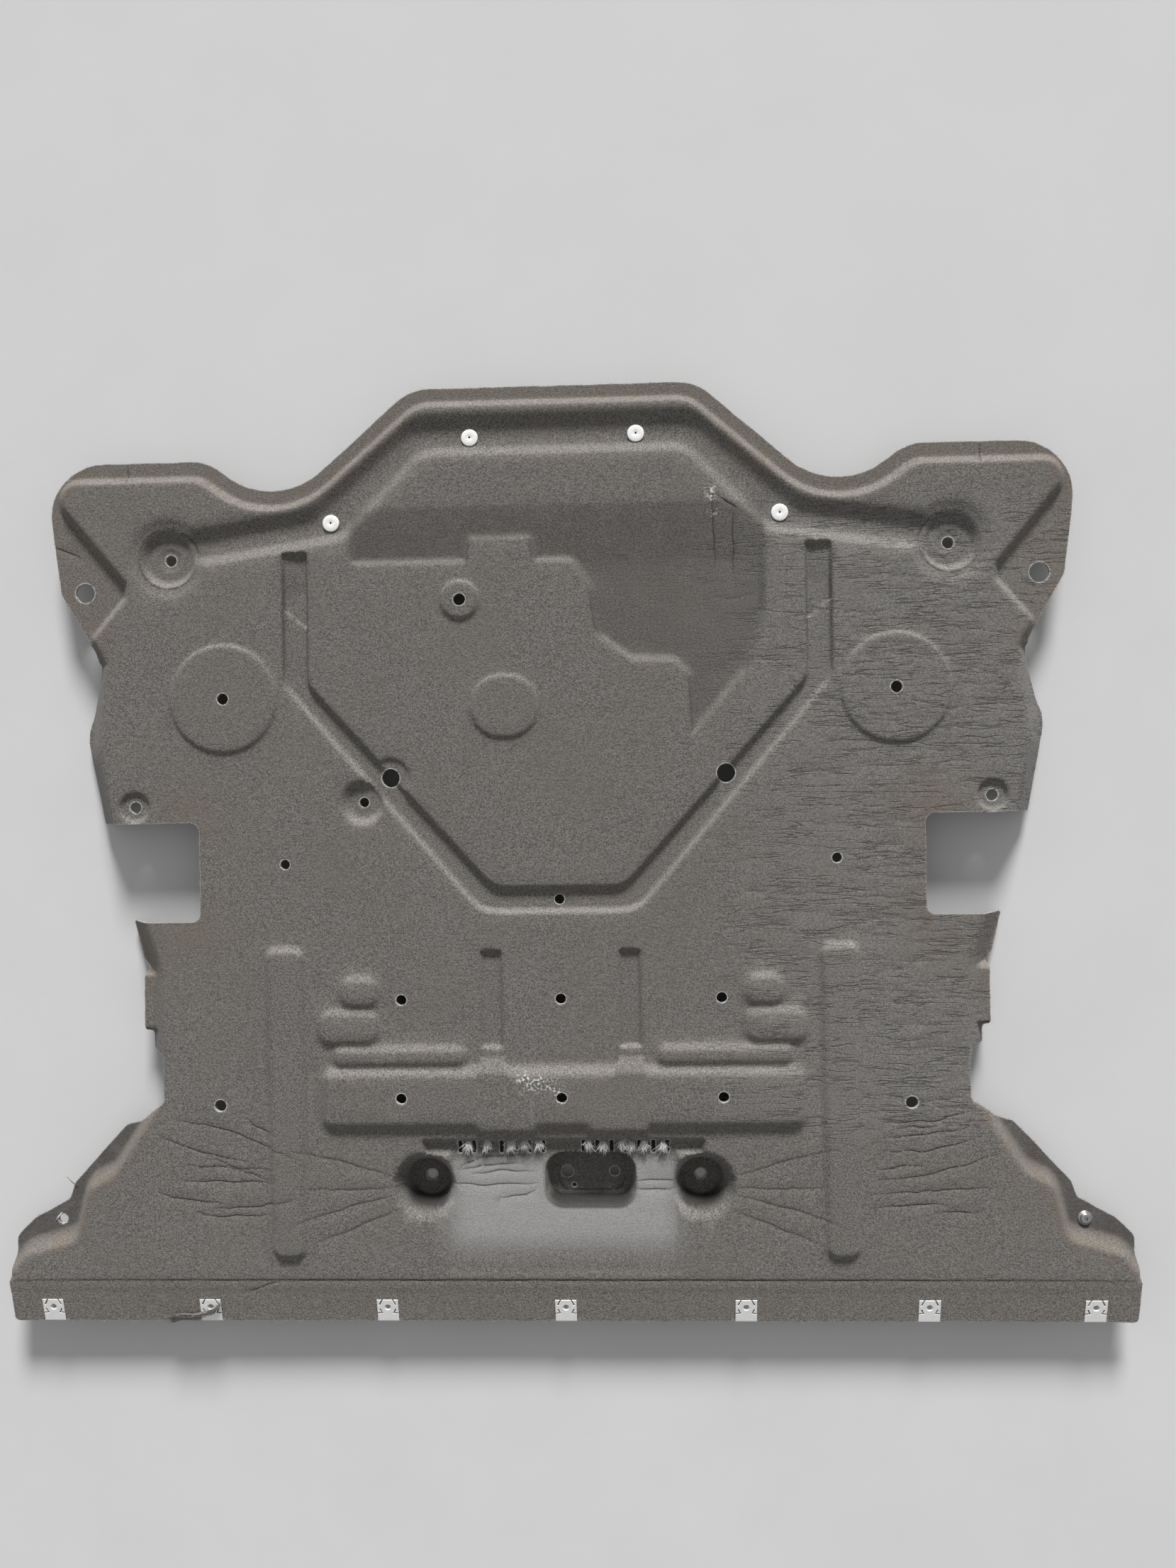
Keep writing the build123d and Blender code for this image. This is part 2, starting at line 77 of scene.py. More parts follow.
# Levels, widths and unevenness of the felt's road face, and the distance that counts as far
FELT = 4.0
BOSS_HEIGHT = 8.0
FIELD = TOP - BOSS_HEIGHT
FLANGE_DROP = 10.0
FLANGE_WIDTH = 15.0
WING_DROP = 20.0
STRIP_WIDTH = 50.0
STRIP_ANGLE = math.radians(14.5)
STEP_BOX_DROP = 14.0
UNEVEN = 0.3
FAR = 60.0

# Heights over the field, and depths under it or under the floor of the shape around
RIB_HEIGHT = 6.0
PAD_HEIGHT = 5.5
DISC_HEIGHT = 3.0
OVAL_HEIGHT = 3.0
STUD_HEIGHT = 3.4
CHANNEL_DEPTH = 9.0
GROOVE_DEPTH = 6.2
PLATE_DEPTH = 6.6
POCKET_DEPTH = 8.0
JACK_DISH_DEPTH = 3.0
SLOT_DEPTH = 8.6
MIDDLE_SLOT_DEPTH = 5.0
VENT_DEPTH = 8.0
FRONT_CUP_DEPTH = 40.0
FRONT_RING_DEPTH = 1.0
MIDDLE_CUP_DEPTH = 32.0
LOBE_DISH_DEPTH = 3.4
LOBE_BOWL_DEPTH = 7.6
LOBE_RING_DEPTH = 1.2
SEAT_DEPTH = 4.0

# Radii of the round relief, and of the crease round a lobe cup
DISC_RADIUS = 57
STUD_RADIUS = 19
POCKET_RADIUS = 25
JACK_DISH_RADIUS = 22
FRONT_CUP_RADIUS = 28
FRONT_RING_RADIUS = 11
LOBE_DISH_RADIUS = 43
LOBE_BOWL_RADIUS = 32
LOBE_LINE_RADIUS = 33
LOBE_RING_RADIUS = 12
SEAT_RADIUS = 17

# Diameters of the holes, the side of a clip nut's window, and the vent slots
BOLT_HOLE = 11.4
CUP_HOLE = 12.4
SIDE_HOLE = 13.0
JACK_HOLE = 20.0
LOBE_SIDE_HOLE = 21.4
SMALL_HOLE = 10.6
PIN_HOLE = 5.0
SCREW_HOLE = 6.6
RIVET_HOLE = 7.6
CLIP_WINDOW = 10.0
VENT_SLOT_WIDTH = 4.5
VENT_SLOT_INSET = 1.5

# The floor in metres, the camera's sensor in millimetres and the picture's height in pixels
FLOOR_HALF = 8.0
FLOOR_GAP = 0.0008
SENSOR = 36.0
IMAGE_HEIGHT = 2212

# Drafts of the walls, measured from upright
EDGE_DRAFT = math.radians(35)
WING_DRAFT = math.radians(30)
RELIEF_DRAFT = math.radians(45)
STEEP_DRAFT = math.radians(32)
BOSS_DRAFT = math.radians(55)
CUP_DRAFT = math.radians(15)
CUP_WALL = math.radians(8)
DISH_DRAFT = math.radians(58)
UPRIGHT_DRAFT = math.radians(20)

# Clip nuts on the front strip, in the frame of the strip with +Y up its slope
CLIP_X = (-564.0, -389.0, -194.0, 0.0, 194.0, 389.0, 564.0)
CLIP_WIDTH = 23.0
CLIP_NOTCH = 3.0
CLIP_SHEET = 0.9
CLIP_LENGTH = 27.0
CLIP_BEND = 1.6
CLIP_HOLE = 3.5
CLIP_HOLE_FROM_TOP = 9.0
CLIP_NUT = 5.0
CLIP_NUT_HEIGHT = 4.5
CLIP_SEAT = (CLIP_NOTCH - FELT * math.sin(STRIP_ANGLE)) / math.cos(STRIP_ANGLE) - 0.6
STRIP_EDGE = FIELD - STRIP_WIDTH * math.tan(STRIP_ANGLE)

# The rivet's pin mark, and the screw's top with its star recess
PIN_MARK_RADIUS = 1.1
STAR_POINTS = 6
STAR_RADIUS = 2.15
STAR_WAVE = 0.35
STAR_FLOOR = 2.0
SCREW_TOP = 4.2
SCREW_TOP_RADIUS = 3.6


def mirrored(half):
    """Corners of the right half, made whole across the middle line."""
    return half + [(-x, y, r) for x, y, r in reversed(half)]


def flipped(corners):
    """The same corners on the other side of the middle line."""
    return [(-x, y, r) for x, y, r in reversed(corners)]


def box_corners(x0, x1, y0, y1, radius=0.0):
    """Corners of a rectangle, all with one radius."""
    return [(x0, y0, radius), (x1, y0, radius), (x1, y1, radius), (x0, y1, radius)]


def shifted(corners, place):
    """Corners moved to a place."""
    return [(x + place[0], y + place[1], r) for x, y, r in corners]


def both(*places):
    """Each place and its mirror image across the middle line."""
    return [(side * x, y) for x, y in places for side in (1, -1)]


# Plan outline as x, y and corner radius, right half from the rear edge round to the front edge
OUTLINE_HALF = [
    (155, REAR, 58), (302, 379, 80), (381, 435, 50), (562, 435, 58), (544, 292.5, 20), (498, 212, 45),
    (529, 138, 40), (508, 39, 3), (391, 39, 11), (391, -68.5, 9), (479, -68.5, 3), (468, -112, 6),
    (460, -122, 4), (460, -190, 3), (454, -194, 3), (454, -209, 3), (434.5, -214, 3), (434.5, -264, 6),
    (468, -289, 6), (484, -293, 12), (544, -357.5, 12), (550, -375.5, 8), (590, -396.5, 18),
    (SIDE, -416.5, 12),
]

# Top edges of the raised field: the rear crown, the middle with its skirts, the front with its wings
CROWN_INSET = FLANGE_WIDTH + FLANGE_DROP * math.tan(EDGE_DRAFT)
CROWN = mirrored([
    (146, REAR - CROWN_INSET, 35), (302, 378.5 - CROWN_INSET * 1.27, 100), (388, 433.5 - CROWN_INSET, 27),
    (543, 433.5 - CROWN_INSET, 17), (536, 385.5, 10), (467, 301.5, 12), (467, 285.5, 12), (505, 241.5, 4),
    (470, 177.5, 4),
])
MIDDLE = mirrored([(490, 228, 20), (500, 118, 60), (484, 28, 60), (436, -118, 60), (436, -300, 5)])
WINGS = mirrored([
    (434.5, -222.5, 4), (436, -262.5, 12), (490, -342.5, 25), (519, -358, 18), (533, -414, 22),
    (590, -430, 14), (SIDE - FELT, FRONT + STRIP_WIDTH + 8, 6), (SIDE - FELT, FRONT + STRIP_WIDTH - 10, 1),
])
STEP_BOX = box_corners(394.5, 474.5, -187, -127, 3)

# Raised zones: top edge, how far the wall falls, its draft and its roundness
ZONES = (
    (CROWN, FLANGE_DROP, EDGE_DRAFT, 5.0),
    (MIDDLE, FIELD, EDGE_DRAFT, 8.0),
    (WINGS, WING_DROP, WING_DRAFT, 6.0),
)

# Where in y the rear flange and the wings begin, and where the front strip bends
FLANGE_END = 215.5
WING_END = -257.5
CREASE = FRONT + STRIP_WIDTH

# Relief of the field
CHANNEL = mirrored([
    (154, 474.5, 50), (265, 377.5, 40), (421, 353.5, 4), (421, 313, 4), (228, 343, 30), (140, 432.5, 30),
])
GROOVE = mirrored([(268, 331.5, 4), (268, 187.5, 25), (70, -34, 30)]) + mirrored(
    [(297, 331.5, 4), (297, 186.5, 30), (85, -62.5, 40)])[::-1]
SLOT = [(268, 243, 4), (297, 268, 4), (297, 331.5, 4), (268, 331.5, 4)]
MIDDLE_SLOT = box_corners(62.5, 87, -208, -102, 4)
RIB = [(281.5, -102, 8), (315.5, -102, 8), (311, -429.5, 8), (284, -429.5, 8)]
PADS = [
    box_corners(200.5, 235, -159, -133.5, 10), box_corners(201.5, 259, -199, -170, 10),
    box_corners(107, 243, -223, -209, 6),
]
BOSS = mirrored([
    (252, -236.5, 6), (252, -286.5, 6), (93, -286.5, 3), (86, -293.5, 3), (34, -293.5, 3), (27, -286.5, 3),
])
EAR = [(56, -238, 1), (92, -238, 1), (84, -216, 4), (66, -216, 4)]
EAR_RAMP = (-216, -234)
SLOT_RAMP = (365, 290)
PLATE = [
    (-222, 315.5, 8), (-95, 315.5, 4), (-91, 341.5, 4), (-26, 341.5, 4), (-22, 315.5, 4), (18, 315.5, 12),
    (36, 285.5, 12), (42, 235.5, 16), (80, 207.5, 16), (128, 205.5, 12), (142, 189.5, 8), (144, 121.5, 3),
    (207, 195.5, 20), (226, 257.5, 30), (226, 375.5, 4), (-222, 375.5, 4),
]
PLATE_RAMP = (374.5, 314.5)

# Places of cups, seats, holes and vents
LOBE_CUP = (422, 327.5)
LOBE_SIDE = (517.5, 293.5)
DISC = (362, 173.5)
JACK = (181, 85)
SEAT = (462, 57)
SMALL = (297, -7)
POCKET = (-211, 59)
GROOVE_SEAT = (0, -48.5)
OVAL = (-56, 160.5)
OVAL_BOX = box_corners(-35, 35, -32, 32, 31)
STUD = (-102.5, 276)
ROWS = [(x, y) for y in (-259.5, -155) for x in (-172.5, 0, 172.5)]
SIDE_BOLT = (372, -268)
FRONT_CUP = (149, -356.5)
MIDDLE_CUP = (29, -350.5)
MIDDLE_BOX = box_corners(-49, 49, -29, 29, 20)
MIDDLE_HOLE = (2.5, -350.5)
MIDDLE_PIN = (54.5, -350.5)
MIDDLE_PRICK = (10, -365.5)
WING_HOLE = (558, -398)
RIVETS = both((90, 452.5), (243, 363.5))
VENT_REAR = -306.0
VENT_FRONT = -324.0
VENT_ROW = 153.0
RAMP_END = -449.0
RAMP_HALF = 125.0
VENT_X = [side * (22 + 15 * i) for side in (-1, 1) for i in range(7)]
TUFT_X = (-103, -82, -56, -42, -26, 27, 43, 64, 73, 87, 107)

# Creases of each kind: depth, width and sideways swing
SEEN_CREASE = (0.8, 0.7, 0.9)
CUP_CREASE = (0.7, 0.9, 0.8)
MIDDLE_CREASE = (0.8, 0.8)
SLOT_CREASE = (0.6, 1.1, 0.2)
PLATE_CREASE = (0.5, 1.0)
LOBE_CREASE = (0.8, 1.0)
STRIP_CREASE = (0.9, 0.9, 0.25)
PUCKER = (0.35, 0.6)

# Fine wrinkles on the right: place, length, slope, depth, width and swing, and what they keep clear of
FINE_X = (150, 430, 470)
FINE_Y = (-285, 330)
FINE_LENGTH = (12, 62)
FINE_SLOPE = (0.02, 0.06)
FINE_DEPTH = (0.15, 0.45)
FINE_WIDTH = (0.5, 0.8)
FINE_SWING = 1.6
FINE_LIMIT_X = 492
FINE_CLEAR = 8
HOLE_CLEAR = 22

# Folds worn into the felt, as lines of x and y
FOLDS = [
    [(-115, -339), (-83, -325)], [(-113, -341), (-79, -335), (-46, -334)],
    [(-97, -327), (-58, -326), (-38, -323)],
    [(-99, -345), (-62, -341), (-35, -343)], [(-132, -353), (-87, -357), (-27, -355)],
    [(-68, -370), (-39, -368), (-31, -363)], [(78, -352), (125, -352)], [(77, -361), (117, -361)],
    [(-382, -324), (-350, -339), (-317, -350)],
    [(-424, -282), (-404, -287), (-374, -291), (-350, -301), (-319, -313), (-288, -325)],
    [(-443, -299), (-416, -311), (-388, -320), (-340, -330)], [(-414, -333), (-375, -335), (-316, -338)],
    [(-416, -350), (-381, -350), (-313, -352)], [(-444, -362), (-420, -369), (-371, -374)],
    [(-382, -380), (-340, -379), (-289, -369)], [(-400, -384), (-379, -389), (-320, -387)],
    [(-343, -284), (-329, -294), (-317, -297)],
    [(337, -287), (357, -290), (396, -288), (432, -278)],
    [(336, -307), (379, -303), (418, -298), (435, -294)],
    [(336, -320), (385, -321), (422, -312), (448, -303)], [(336, -340), (369, -336), (385, -336)],
    [(336, -351), (378, -347), (422, -336), (461, -323)], [(336, -366), (394, -362), (457, -359)],
    [(335, -380), (384, -377), (405, -376)], [(401, -385), (437, -385)], [(357, -296), (396, -294)],
    [(-467, 432), (-467, 412)], [(456, 432), (456, 411)], [(-557, 347), (-540, 341), (-521, 331)],
    [(171, 390), (171, 354), (173, 305)], [(176, 382), (198, 366)], [(192, 365), (193, 297)],
    [(-348, -470), (-334, -468), (-324, -463), (-310, -459)],
]
CUP_FOLDS = [
    [(295, -316), (234, -331), (181, -347)], [(278, -359), (227, -360), (183, -358)],
    [(292, -397), (235, -379), (182, -366)], [(271, -418), (220, -398), (174, -379)],
]
PLATE_FOLDS = [
    [(29, 299), (37, 284), (42, 245), (53, 229), (77, 211)], [(141, 193), (144, 170), (146, 128)],
    [(-94, 316), (-92, 340)], [(-24, 316), (-26, 340)],
]
SLOT_LINES_X = (269.5, 295.5, -269.5, -295.5)
SLOT_LINES_Y = (331, 260, 190)
MIDDLE_LINE = [(-8, -352), (-6, -366), (2, -371), (56, -371), (64, -366), (66, -352)]

# Soft steps in x, in y or in from the outline, where wrinkles, dust with painted light, grime and wings
# begin or end
WRINKLE_X = (120, 300)
WRINKLE_FRONT = (-330, -280)
WRINKLE_REAR = (330, 400)
DUST_X = (100, 145)
DUST_FRONT = (-440, -400)
DUST_REAR = (-340, -318)
GRIME_FRONT = (200, 230)
GRIME_INSET = (6, 36)
WING_REAR = (-275, -255)

# How far dried dirt, chipped fibres, a tear and a cut rim reach, and the places of the first three
DIRT_REACH = 70
CHIP_REACH = 14
TEAR_REACH = 6
RIM_REACH = 8
DIRT_PLACES = both((400, 45), (400, -72), (530, 310), (470, -120))
CHIP_PLACES = [(-40, -241), (-25, -244), (-8, -249)]
TEAR_PLACES = [(171, 388), (171, 380), (171, 364)]

# Lengths of the loose fibres, and how the tufts at the vents spread and point
EDGE_FIBRE = (1.5, 4.0)
HOLE_FIBRE = (0.8, 1.8)
TUFT_LENGTH = (4, 11)
TUFT_SPREAD = (1.5, 1.8, 0.6)
TUFT_AIM = (0, -1, 0.3)
TUFT_FAN = (0.42, 0.3, 0.3)
TUFT_DROP = 6.0

# Routes of the frayed strand over a clip nut, of the thread on the left wing and of the torn slit
STRAND_ROUTE = [(-434, -503), (-418, -501), (-403, -499.6), (-387, -495), (-378, -486)]
THREAD_ROUTE = [(-552.5, -351), (-547, -357), (-541.5, -361)]
SLIT_ROUTE = [(-566, -399), (-563, -395), (-559.5, -391)]


def loop_of(corners, arc_step=math.radians(9)):
    """A closed line of points through corners (x, y, radius), each rounded by its own radius."""
    points = []
    for i, (x, y, radius) in enumerate(corners):
        here = np.array((x, y), float)
        last = np.array(corners[i - 1][:2], float) - here
        after = np.array(corners[(i + 1) % len(corners)][:2], float) - here
        if radius <= 0:
            points.append(here)
            continue
        last /= np.linalg.norm(last)
        after /= np.linalg.norm(after)
        half = math.acos(np.clip(last @ after, -1, 1)) / 2
        inward = (last + after) / np.linalg.norm(last + after)
        centre = here + inward * radius / math.sin(half)
        start = here + last * radius / math.tan(half) - centre
        sweep = math.pi - 2 * half
        if last[0] * after[1] - last[1] * after[0] > 0:
            sweep = -sweep
        count = max(2, math.ceil(abs(sweep) / arc_step))
        for angle in np.linspace(0, sweep, count + 1):
            c, s = math.cos(angle), math.sin(angle)
            points.append(centre + (c * start[0] - s * start[1], s * start[0] + c * start[1]))
    return np.array(points)


def circle(place, radius, count=48):
    """A closed round line."""
    angles = np.linspace(0, 2 * math.pi, count, endpoint=False)
    return np.column_stack((place[0] + radius * np.cos(angles), place[1] + radius * np.sin(angles)))


def segment_distance(points, starts, ends):
    """Distance of each point to the nearest of the segments."""
    span = ends - starts
    length2 = np.maximum((span ** 2).sum(1), 1e-9)
    nearest = np.full(len(points), np.inf)
    for start, step, l2 in zip(starts, span, length2):
        along = np.clip(((points - start) @ step) / l2, 0, 1)
        gap = points - start - along[:, None] * step
        np.minimum(nearest, (gap ** 2).sum(1), out=nearest)
    return np.sqrt(nearest)


def inside(points, loop):
    """Which points lie inside a closed line."""
    result = np.zeros(len(points), bool)
    x, y = points[:, 0], points[:, 1]
    for (x0, y0), (x1, y1) in zip(loop, np.roll(loop, -1, 0)):
        if y0 == y1:
            continue
        crosses = (y0 > y) != (y1 > y)
        result ^= crosses & (x < (x1 - x0) * (y - y0) / (y1 - y0) + x0)
    return result


def signed_distance(points, loop):
    """Distance to a closed line, below zero inside it; far points are all called FAR."""
    distance = np.full(len(points), FAR)
    low, high = loop.min(0) - FAR, loop.max(0) + FAR
    near = ((points > low) & (points < high)).all(1)
    if near.any():
        close = points[near]
        gap = segment_distance(close, loop, np.roll(loop, -1, 0))
        distance[near] = np.where(inside(close, loop), -gap, gap)
    return distance


def soft_max(a, b, soft):
    """The higher of two heights, with a round fillet where they meet."""
    blend = np.maximum(soft - np.abs(a - b), 0) / soft
    return np.maximum(a, b) + blend * blend * soft / 4


def soft_min(a, b, soft):
    """The lower of two heights, with a round edge where they meet."""
    return -soft_max(-a, -b, soft)


def smooth_step(low, high, value):
    """A smooth ramp from 0 at low to 1 at high."""
    t = np.clip((value - low) / (high - low), 0, 1)
    return t * t * (3 - 2 * t)


def wave(points, seed, length):
    """A slow uneven swell between about -1 and 1."""
    random = np.random.default_rng(seed)
    swell = np.zeros(len(points))
    for _ in range(6):
        angle, phase = random.uniform(0, 2 * math.pi, 2)
        pitch = length * random.uniform(0.6, 1.6)
        along = points[:, 0] * math.cos(angle) + points[:, 1] * math.sin(angle)
        swell += np.sin(2 * math.pi * along / pitch + phase)
    return swell / 3


class Relief:
    """One raised or sunk shape: its rim line, the level there, how far it rises, and its wall."""

    def __init__(self, loop, rise, draft=RELIEF_DRAFT, level=FIELD, soft=1.8, ramp=None):
        self.loop = loop
        self.rise = rise
        self.draft = draft
        self.level = level
        self.soft = min(soft, 1.4 * abs(rise))
        self.ramp = ramp

    def apply(self, points, z, sink):
        """The height of the felt with this shape pressed into it."""
        shift = sink * (1 - math.sin(self.draft)) / math.cos(self.draft)
        distance = signed_distance(points, self.loop)
        level = self.level - sink
        share = np.ones(len(points))
        if self.ramp:
            start, end = self.ramp
            share = np.clip((points[:, 1] - start) / (end - start), 0, 1)
        flat = level + self.rise * share
        if self.rise > 0:
            wall = level + self.rise - (distance + shift) / math.tan(self.draft)
            return soft_max(z, soft_min(flat, wall, self.soft), self.soft)
        wall = level + (distance - shift) / math.tan(self.draft)
        return soft_min(z, soft_max(flat, wall, self.soft), self.soft)

    def offsets(self):
        """Where rows of points run beside the rim: over the rim's round, the wall and the foot's round."""
        run = abs(self.rise) * math.tan(self.draft)
        steps = max(2, round(run / 3))
        rows = [-3.2, -1.2] + [run * i / steps for i in range(steps + 1)] + [run + 1.2, run + 3.2]
        return rows if self.rise > 0 else [-r for r in rows]


def relief_list():
    """Every raised and sunk shape of the field, in the order of pressing."""
    def pair(corners, *sizes, **more):
        return [Relief(loop_of(c), *sizes, **more) for c in (corners, flipped(corners))]

    def round_pair(place, radius, *sizes, **more):
        return [Relief(circle(p, radius), *sizes, **more) for p in both(place)]

    shapes = [Relief(loop_of(BOSS), BOSS_HEIGHT, BOSS_DRAFT, soft=2.6)]
    shapes += pair(EAR, BOSS_HEIGHT, UPRIGHT_DRAFT, soft=0.6, ramp=EAR_RAMP)
    shapes += pair(RIB, RIB_HEIGHT, soft=2.4)
    for pad in PADS:
        shapes += pair(pad, PAD_HEIGHT, soft=4.5)
    shapes += round_pair(DISC, DISC_RADIUS, DISC_HEIGHT)
    shapes.append(Relief(loop_of(shifted(OVAL_BOX, OVAL)), OVAL_HEIGHT))
    shapes.append(Relief(circle(STUD, STUD_RADIUS), STUD_HEIGHT))
    shapes.append(Relief(loop_of(CHANNEL), -CHANNEL_DEPTH, soft=7.0))
    shapes.append(Relief(loop_of(GROOVE), -GROOVE_DEPTH, STEEP_DRAFT, soft=2.2))
    shapes.append(Relief(loop_of(PLATE), -PLATE_DEPTH, ramp=PLATE_RAMP))
    shapes.append(Relief(circle(POCKET, POCKET_RADIUS), -POCKET_DEPTH, soft=2.6))
    shapes.append(Relief(circle((-JACK[0], JACK[1]), JACK_DISH_RADIUS), -JACK_DISH_DEPTH))
    shapes += pair(SLOT, -SLOT_DEPTH, UPRIGHT_DRAFT, ramp=SLOT_RAMP)
    shapes += pair(MIDDLE_SLOT, -MIDDLE_SLOT_DEPTH, STEEP_DRAFT)
    vent = box_corners(-VENT_ROW, VENT_ROW, VENT_FRONT, VENT_REAR, 3)
    shapes.append(Relief(loop_of(vent), -VENT_DEPTH, STEEP_DRAFT))
    slope = box_corners(-RAMP_HALF, RAMP_HALF, RAMP_END, VENT_REAR, 3)
    shapes.append(Relief(loop_of(slope), -VENT_DEPTH, STEEP_DRAFT, ramp=(RAMP_END, VENT_FRONT), soft=3.0))
    shapes += round_pair(FRONT_CUP, FRONT_CUP_RADIUS, -FRONT_CUP_DEPTH, CUP_WALL, soft=5.0)
    shapes.append(Relief(loop_of(shifted(MIDDLE_BOX, MIDDLE_CUP)), -MIDDLE_CUP_DEPTH, CUP_WALL, soft=7.0))
    shapes += round_pair(LOBE_CUP, LOBE_DISH_RADIUS, -LOBE_DISH_DEPTH, DISH_DRAFT, soft=3.0)
    bowl = FIELD - LOBE_DISH_DEPTH
    shapes += round_pair(LOBE_CUP, LOBE_BOWL_RADIUS, -LOBE_BOWL_DEPTH, level=bowl, soft=1.0)
    floor = bowl - LOBE_BOWL_DEPTH
    shapes += round_pair(LOBE_CUP, LOBE_RING_RADIUS, -LOBE_RING_DEPTH, STEEP_DRAFT, level=floor)
    shapes += round_pair(SEAT, SEAT_RADIUS, -SEAT_DEPTH, EDGE_DRAFT)
    floor = FIELD - FRONT_CUP_DEPTH
    shapes += round_pair(FRONT_CUP, FRONT_RING_RADIUS, -FRONT_RING_DEPTH, STEEP_DRAFT, level=floor)
    return shapes


class Fold:
    """A thin crease in the road face: its line, with a depth that fades at both ends."""

    def __init__(self, line, depth, width, swing=0.0, seed=0):
        ends = np.array(line, float)
        steps = np.r_[0, np.cumsum(np.linalg.norm(np.diff(ends, axis=0), axis=1))]
        count = max(3, round(steps[-1] / 4))
        along = np.linspace(0, steps[-1], count + 1)
        smooth = np.column_stack([np.interp(along, steps, ends[:, k]) for k in (0, 1)])
        for _ in range(2):
            smooth[1:-1] = (smooth[:-2] + 2 * smooth[1:-1] + smooth[2:]) / 4
        side = np.gradient(smooth, axis=0)[:, ::-1] * (-1, 1)
        side /= np.linalg.norm(side, axis=1)[:, None]
        self.points = smooth + side * (wave(smooth, seed, 24.0) * swing)[:, None]
        self.side = side
        self.width = width
        middle = (np.arange(count) + 0.5) / count
        self.depths = depth * np.sqrt(np.sin(math.pi * middle))

    def dip(self, plan):
        """How deep the fold is at each point."""
        depth = np.zeros(len(plan))
        reach = 3 * self.width
        low, high = self.points.min(0) - reach, self.points.max(0) + reach
        near = np.flatnonzero(((plan > low) & (plan < high)).all(1))
        close = plan[near]
        for i, weight in enumerate(self.depths):
            gap = segment_distance(close, self.points[i:i + 1], self.points[i + 1:i + 2])
            depth[near] = np.maximum(depth[near], weight * np.exp(-(gap / self.width) ** 2))
        return depth


def fold_list(settings):
    """Folds seen one by one, puckers round the front cups, and the many fine wrinkles on the right."""
    random = np.random.default_rng(settings.seed)
    folds = [Fold(line, *SEEN_CREASE, i) for i, line in enumerate(FOLDS)]
    for i, line in enumerate(CUP_FOLDS):
        for side in (1, -1):
            folds.append(Fold([(side * x, y) for x, y in line], *CUP_CREASE, 40 + i))
    folds.append(Fold(MIDDLE_LINE, *MIDDLE_CREASE))
    for x in SLOT_LINES_X:
        folds.append(Fold([(x, y) for y in SLOT_LINES_Y], *SLOT_CREASE))
    for line in PLATE_FOLDS:
        folds.append(Fold(line, *PLATE_CREASE))
    for middle in both(LOBE_CUP):
        ring = circle(middle, LOBE_LINE_RADIUS)
        half = len(ring) // 2
        folds += [Fold(line, *LOBE_CREASE) for line in (ring[:half + 2], ring[half - 1:])]
    folds.append(Fold([(-SIDE + 8, CREASE), (0, CREASE), (SIDE - 8, CREASE)], *STRIP_CREASE, 77))
    for x, y in both(FRONT_CUP):
        out = 0.0 if x > 0 else math.pi
        for angle in np.linspace(-1.9, 1.1, 22):
            turn = out + (angle if x > 0 else -angle) + random.uniform(-0.05, 0.05)
            aim = np.array((math.cos(turn), math.sin(turn)))
            start = np.array((x, y)) + aim * (FRONT_CUP_RADIUS + 1)
            folds.append(Fold([start, start + aim * random.uniform(4, 11)], *PUCKER))
    avoid = [loop_of(GROOVE), loop_of(flipped(RIB)), loop_of(RIB), loop_of(BOSS)]
    avoid += [circle(p, HOLE_CLEAR) for p in (SEAT, SMALL, DISC, ROWS[2], ROWS[5])]
    while len(folds) < settings.folds:
        x = random.triangular(*FINE_X)
        y = random.uniform(*FINE_Y)
        length = random.uniform(*FINE_LENGTH)
        tilt = random.normal(*FINE_SLOPE)
        line = np.array([(x + t * length, y + t * length * tilt) for t in (-0.5, 0.0, 0.5)])
        blocked = any((signed_distance(line, loop) < FINE_CLEAR).any() for loop in avoid)
        if line[:, 0].max() > FINE_LIMIT_X or blocked:
            continue
        depth, width = random.uniform(*FINE_DEPTH), random.uniform(*FINE_WIDTH)
        folds.append(Fold(line, depth, width, FINE_SWING, len(folds)))
    return folds


def zone_height(points, zone, draft, sink, soft):
    """Height of a raised zone of the field and of the wall that falls away round it."""
    shift = sink * (1 - math.sin(draft)) / math.cos(draft)
    distance = signed_distance(points, zone) + shift
    level = FIELD - sink
    return soft_min(np.full(len(points), level), level - distance / math.tan(draft), soft)


def felt_height(points, shapes, sink, soft=3.0):
    """Height of the felt's road face, or of its back when sunk by the felt, over the floor."""
    y = points[:, 1]
    low = np.full(len(points), -FAR)
    ground = np.where(y > FLANGE_END, FIELD - FLANGE_DROP - sink, low)
    ground = np.where(y < WING_END, FIELD - WING_DROP - sink, ground)
    field = low
    for corners, _, draft, roundness in ZONES:
        field = np.maximum(field, zone_height(points, loop_of(corners), draft, sink, roundness))
    for corners in (STEP_BOX, flipped(STEP_BOX)):
        shape = Relief(loop_of(corners), FIELD, CUP_DRAFT, level=-STEP_BOX_DROP, soft=5.0)
        ground = shape.apply(points, ground, sink)
    crease = CREASE + sink * math.tan(STRIP_ANGLE / 2)
    strip = FIELD - sink - (crease - y) * math.tan(STRIP_ANGLE)
    field = np.where(y < crease, np.maximum(field, strip), field)
    field = np.where(y < crease, soft_min(field, strip, 1.5), field)
    z = soft_max(ground, field, soft)
    for shape in shapes:
        z = shape.apply(points, z, sink)
    z += UNEVEN * wave(points, 3, 130.0) * smooth_step(4, 20, z)
    return np.maximum(z, 0.8 if sink == 0 else 0.0)


